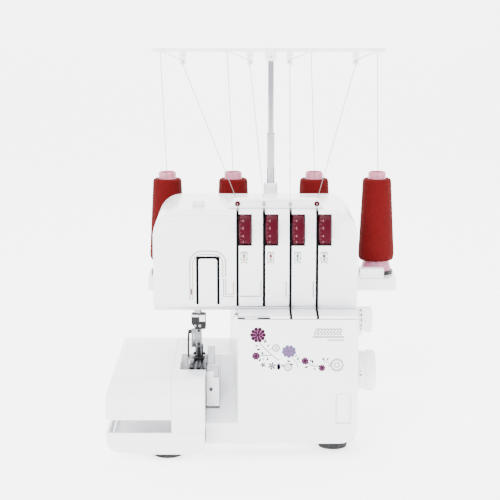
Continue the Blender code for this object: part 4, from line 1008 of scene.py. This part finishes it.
def make_finger_recess():
    """A grey line of painted shade along the rim of the cover's finger recess, with rounded corners about
    four middles.
    """
    left, right, low, high, corner = 0.0903, 0.0995, 0.0410, 0.0685, 0.0035
    outline = [(left, low - corner)]
    for middle, start in (((right, low), -90), ((right, high), 0), ((left, high), 90), ((left, low), 180)):
        outline += arc(middle, corner, start, start + 90, 5)
    bm = bmesh.new()
    add_line(bm, outline, 0.0005, COVER_FACE, 0.0001)
    keep(bm, "recess_outline", painted_recess_shade, "cover")


# ---------------------------------------------------------------- needle area

NEEDLE_X = -0.0675


def depth(setback):
    return setback - 0.141


def make_needle_clamp():
    """Needle bar, and a black clamp with a sloping corner, two set screws and a white face."""
    bm = bmesh.new()
    add_rod(bm, (NEEDLE_X, depth(0.085), 0.1500), (NEEDLE_X, depth(0.085), 0.2320), 0.0036, 32)
    bar = keep(bm, "needle_bar_rod", steel, "needles")
    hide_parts("needle_bar")
    bm = bmesh.new()
    outline = (
        (-0.0745, 0.1510), (-0.0602, 0.1510), (-0.0593, 0.1500), (-0.0593, 0.1345), (-0.0603, 0.1335),
        (-0.0712, 0.1335), (-0.0757, 0.1400), (-0.0757, 0.1498)
    )
    add_flat(bm, outline, depth(0.0912), 0.0122)
    bmesh.ops.bevel(bm, geom=list(bm.edges), offset=0.0005, segments=2, affect="EDGES", profile=0.5)
    keep(bm, "needle_clamp", black, "needles")
    bm = bmesh.new()
    for across in (-0.0716, -0.0662):
        add_rod(bm, (across, depth(0.0792), 0.1378), (across, depth(0.0772), 0.1378), 0.0015, 20)
    keep(bm, "needle_set_screws", steel, "needles")
    bm = bmesh.new()
    add_block(bm, (-0.0665, depth(0.0784), 0.1425), (-0.0600, depth(0.0792), 0.1502), 0.0002, 1)
    add_block(bm, (-0.0752, depth(0.0784), 0.1478), (-0.0672, depth(0.0792), 0.1502), 0.0002, 1)
    keep(bm, "needle_clamp_face", white, "needles")
    # Dark marks on the set screws' heads: painted shade in their slots.
    bm = bmesh.new()
    for across in (-0.0716, -0.0662):
        add_block(bm, (across - 0.0011, depth(0.07705), 0.1376), (across + 0.0011, depth(0.07725), 0.1380))
    keep(bm, "set_screw_slots", dark_ink_and_slot_shade, "needles")


def make_presser():
    """Foot with two toes, an ankle with its screw, a spring plate beside the bar, and a finger guard."""
    bm = bmesh.new()
    add_block(bm, (-0.0774, depth(0.0560), 0.0954), (-0.0723, depth(0.1075), 0.0975), 0.0005, 2)
    add_block(bm, (-0.0627, depth(0.0560), 0.0954), (-0.0597, depth(0.1075), 0.0975), 0.0005, 2)
    add_block(bm, (-0.0770, depth(0.0895), 0.0955), (-0.0600, depth(0.1072), 0.0978), 0.0005, 2)
    for left, right in ((-0.0774, -0.0723), (-0.0700, -0.0650), (-0.0627, -0.0597)):
        for step in range(5):
            low = 0.0954 + 0.0005 * step * step * 0.25
            add_block(
                bm, (left, depth(0.0560 - 0.0022 * (step + 1)), low),
                (right, depth(0.0566 - 0.0022 * step), low + 0.0019), 0.0004, 2
            )
    add_block(bm, (-0.0700, depth(0.0560), 0.0954), (-0.0650, depth(0.0800), 0.0973), 0.0005, 2)
    foot = keep(bm, "presser_sole", foot_metal, "presser")
    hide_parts("presser_foot")
    bm = bmesh.new()
    add_block(bm, (-0.0720, depth(0.0935), 0.0970), (-0.0630, depth(0.1035), 0.1110), 0.0008, 3)
    add_rod(bm, (-0.0745, depth(0.0985), 0.1005), (-0.0605, depth(0.0985), 0.1005), 0.0016, 20)
    keep(bm, "presser_ankle", black, "presser")
    bm = bmesh.new()
    add_block(bm, (-0.0708, depth(0.0932), 0.1085), (-0.0650, depth(0.0952), 0.1330), 0.0004, 2)
    add_block(bm, (-0.0764, depth(0.0938), 0.1090), (-0.0709, depth(0.0952), 0.1310), 0.0004, 2)
    keep(bm, "presser_bracket", steel, "presser")
    bm = bmesh.new()
    add_rod(bm, (-0.0679, depth(0.0934), 0.1285), (-0.0679, depth(0.0922), 0.1285), 0.0014, 20)
    add_rod(bm, (-0.0679, depth(0.0934), 0.1130), (-0.0679, depth(0.0922), 0.1130), 0.0011, 20)
    keep(bm, "presser_bracket_screws", black, "presser")
    bm = bmesh.new()
    add_tube(
        bm,
        (
            (-0.0790, depth(0.0950), 0.1275), (-0.0792, depth(0.0900), 0.1270),
            (-0.0793, depth(0.0830), 0.1200), (-0.0793, depth(0.0790), 0.1080),
            (-0.0790, depth(0.0780), 0.1015)
        ),
        0.0011, 12, 5
    )
    add_block(bm, (-0.0800, depth(0.0938), 0.1250), (-0.0762, depth(0.0952), 0.1295), 0.0004, 2)
    keep(bm, "finger_guard", black, "presser")


def make_knife_bracket():
    """The fixed knife's white holder, and white surfaces that close the chute around it."""
    bm = bmesh.new()
    add_block(bm, (-0.0584, depth(0.0545), 0.0500), (-0.0437, depth(0.0573), 0.0835), 0.0008, 3)
    add_block(bm, (-0.0584, depth(0.0555), 0.0825), (-0.0500, depth(0.0573), 0.0905), 0.0005, 2)
    keep(bm, "knife_holder", white)
    bm = bmesh.new()
    add_rod(bm, (-0.0530, depth(0.0546), 0.0700), (-0.0530, depth(0.0528), 0.0700), 0.0019, 24)
    keep(bm, "knife_holder_screw", dark_plate)
    for name, low, high, body in (
        ("chute_front_patch", 0.0500, 0.0541, "cover"), ("chute_back_patch", 0.0917, 0.1107, MACHINE)
    ):
        bm = bmesh.new()
        rows = []
        for step in range(7):
            setback = low + (high - low) * step / 6
            share = (setback - 0.028) / 0.083
            height = 0.038 + 0.057 * (0.6 * share ** 2.2 + 0.4 * share)
            rows.append(
                [
                    bm.verts.new((across, depth(setback), level))
                    for across in (-0.0585, -0.0436) for level in (height - 0.0001, height - 0.0016)
                ]
            )
        for first, second in zip(rows, rows[1:]):
            for a, b in ((0, 1), (1, 3), (3, 2), (2, 0)):
                bm.faces.new((first[a], first[b], second[b], second[a]))
        for row in (rows[0], rows[-1]):
            bm.faces.new((row[0], row[1], row[3], row[2]))
        keep(bm, name, white, body)


def make_guide_rings():
    """Enamel rings in the outer guide holes, bare ones in the others."""
    for index, across in zip(threads, SLOT_X):
        outer = index in (1, 4)
        profile = ((0.0007, 0.0006), (0.0026, 0.0006), (0.0030, 0.0002), (0.0030, -0.0002), (0.0007, -0.0002))
        bm = bmesh.new()
        add_lathe(
            bm, [(radius * (1.0 if outer else 0.75), height) for radius, height in profile], (0, 0, 0),
            "Y", 28, True
        )
        keep(bm, f"guide_ring_{index}", maroon if outer else steel, MACHINE, (across, GUIDE_FACE, GUIDE_Z))


# ---------------------------------------------------------------- stage

def make_stage():
    bm = bmesh.new()
    profile = [(-3.0, 0.0), (1.6, 0.0)] + [
        (1.6 + 0.6 * math.sin(math.radians(a)), 0.6 - 0.6 * math.cos(math.radians(a)))
        for a in range(10, 91, 10)
    ]
    profile.append((2.2, 3.0))
    rows = [[bm.verts.new((x, depth, height)) for depth, height in profile] for x in (-4.0, 4.0)]
    for index in range(len(profile) - 1):
        bm.faces.new((rows[0][index], rows[1][index], rows[1][index + 1], rows[0][index + 1]))
    mesh = bpy.data.meshes.new("studio_sweep")
    bm.to_mesh(mesh)
    bm.free()
    mesh.shade_smooth()
    sweep = bpy.data.objects.new("studio_sweep", mesh)
    bpy.context.scene.collection.objects.link(sweep)
    paper = new_material("pale_paper", (0.97, 0.97, 0.97), 0.75, Emission_Strength=2.0)
    add_bump(paper, noise(paper, 200.0), 0.05, 0.0002)
    mesh.materials.append(paper)


def area_light(name, place, size, power):
    data = bpy.data.lights.new(name, "AREA")
    data.shape = "RECTANGLE"
    data.size, data.size_y = size
    data.energy = power
    light = bpy.data.objects.new(name, data)
    light.location = place
    light.rotation_euler = (Vector(LIGHT_TARGET) - Vector(place)).to_track_quat("-Z", "Y").to_euler()
    bpy.context.scene.collection.objects.link(light)


def make_lights():
    world = bpy.data.worlds.new("studio")
    world.use_nodes = True
    world.node_tree.nodes["Background"].inputs["Color"].default_value = (0.96, 0.97, 1.0, 1.0)
    world.node_tree.nodes["Background"].inputs["Strength"].default_value = WORLD_STRENGTH
    bpy.context.scene.world = world
    for name, place, size, power in LIGHTS:
        area_light(name, place, size, power)


def make_camera():
    data = bpy.data.cameras.new("camera")
    data.lens = CAMERA_LENS
    data.sensor_width = SENSOR_WIDTH
    camera = bpy.data.objects.new("camera", data)
    camera.location = CAMERA_PLACE
    camera.rotation_euler = (math.radians(90.0 - CAMERA_PITCH), 0.0, 0.0)
    bpy.context.scene.collection.objects.link(camera)
    bpy.context.scene.camera = camera


make_camera()
make_lights()
make_stage()
dress_frame()
make_cones()
make_threads()
make_guide_bar()
make_mast_details()
make_tension_dials()
make_handwheel()
make_stitch_dial_marks()
make_cover_flowers()
make_stitch_emblem()
make_path_lines()
make_dial_icons()
make_slot_lines()
make_shelf_guide()
make_finger_recess()
make_needle_clamp()
make_presser()
make_knife_bracket()
make_guide_rings()
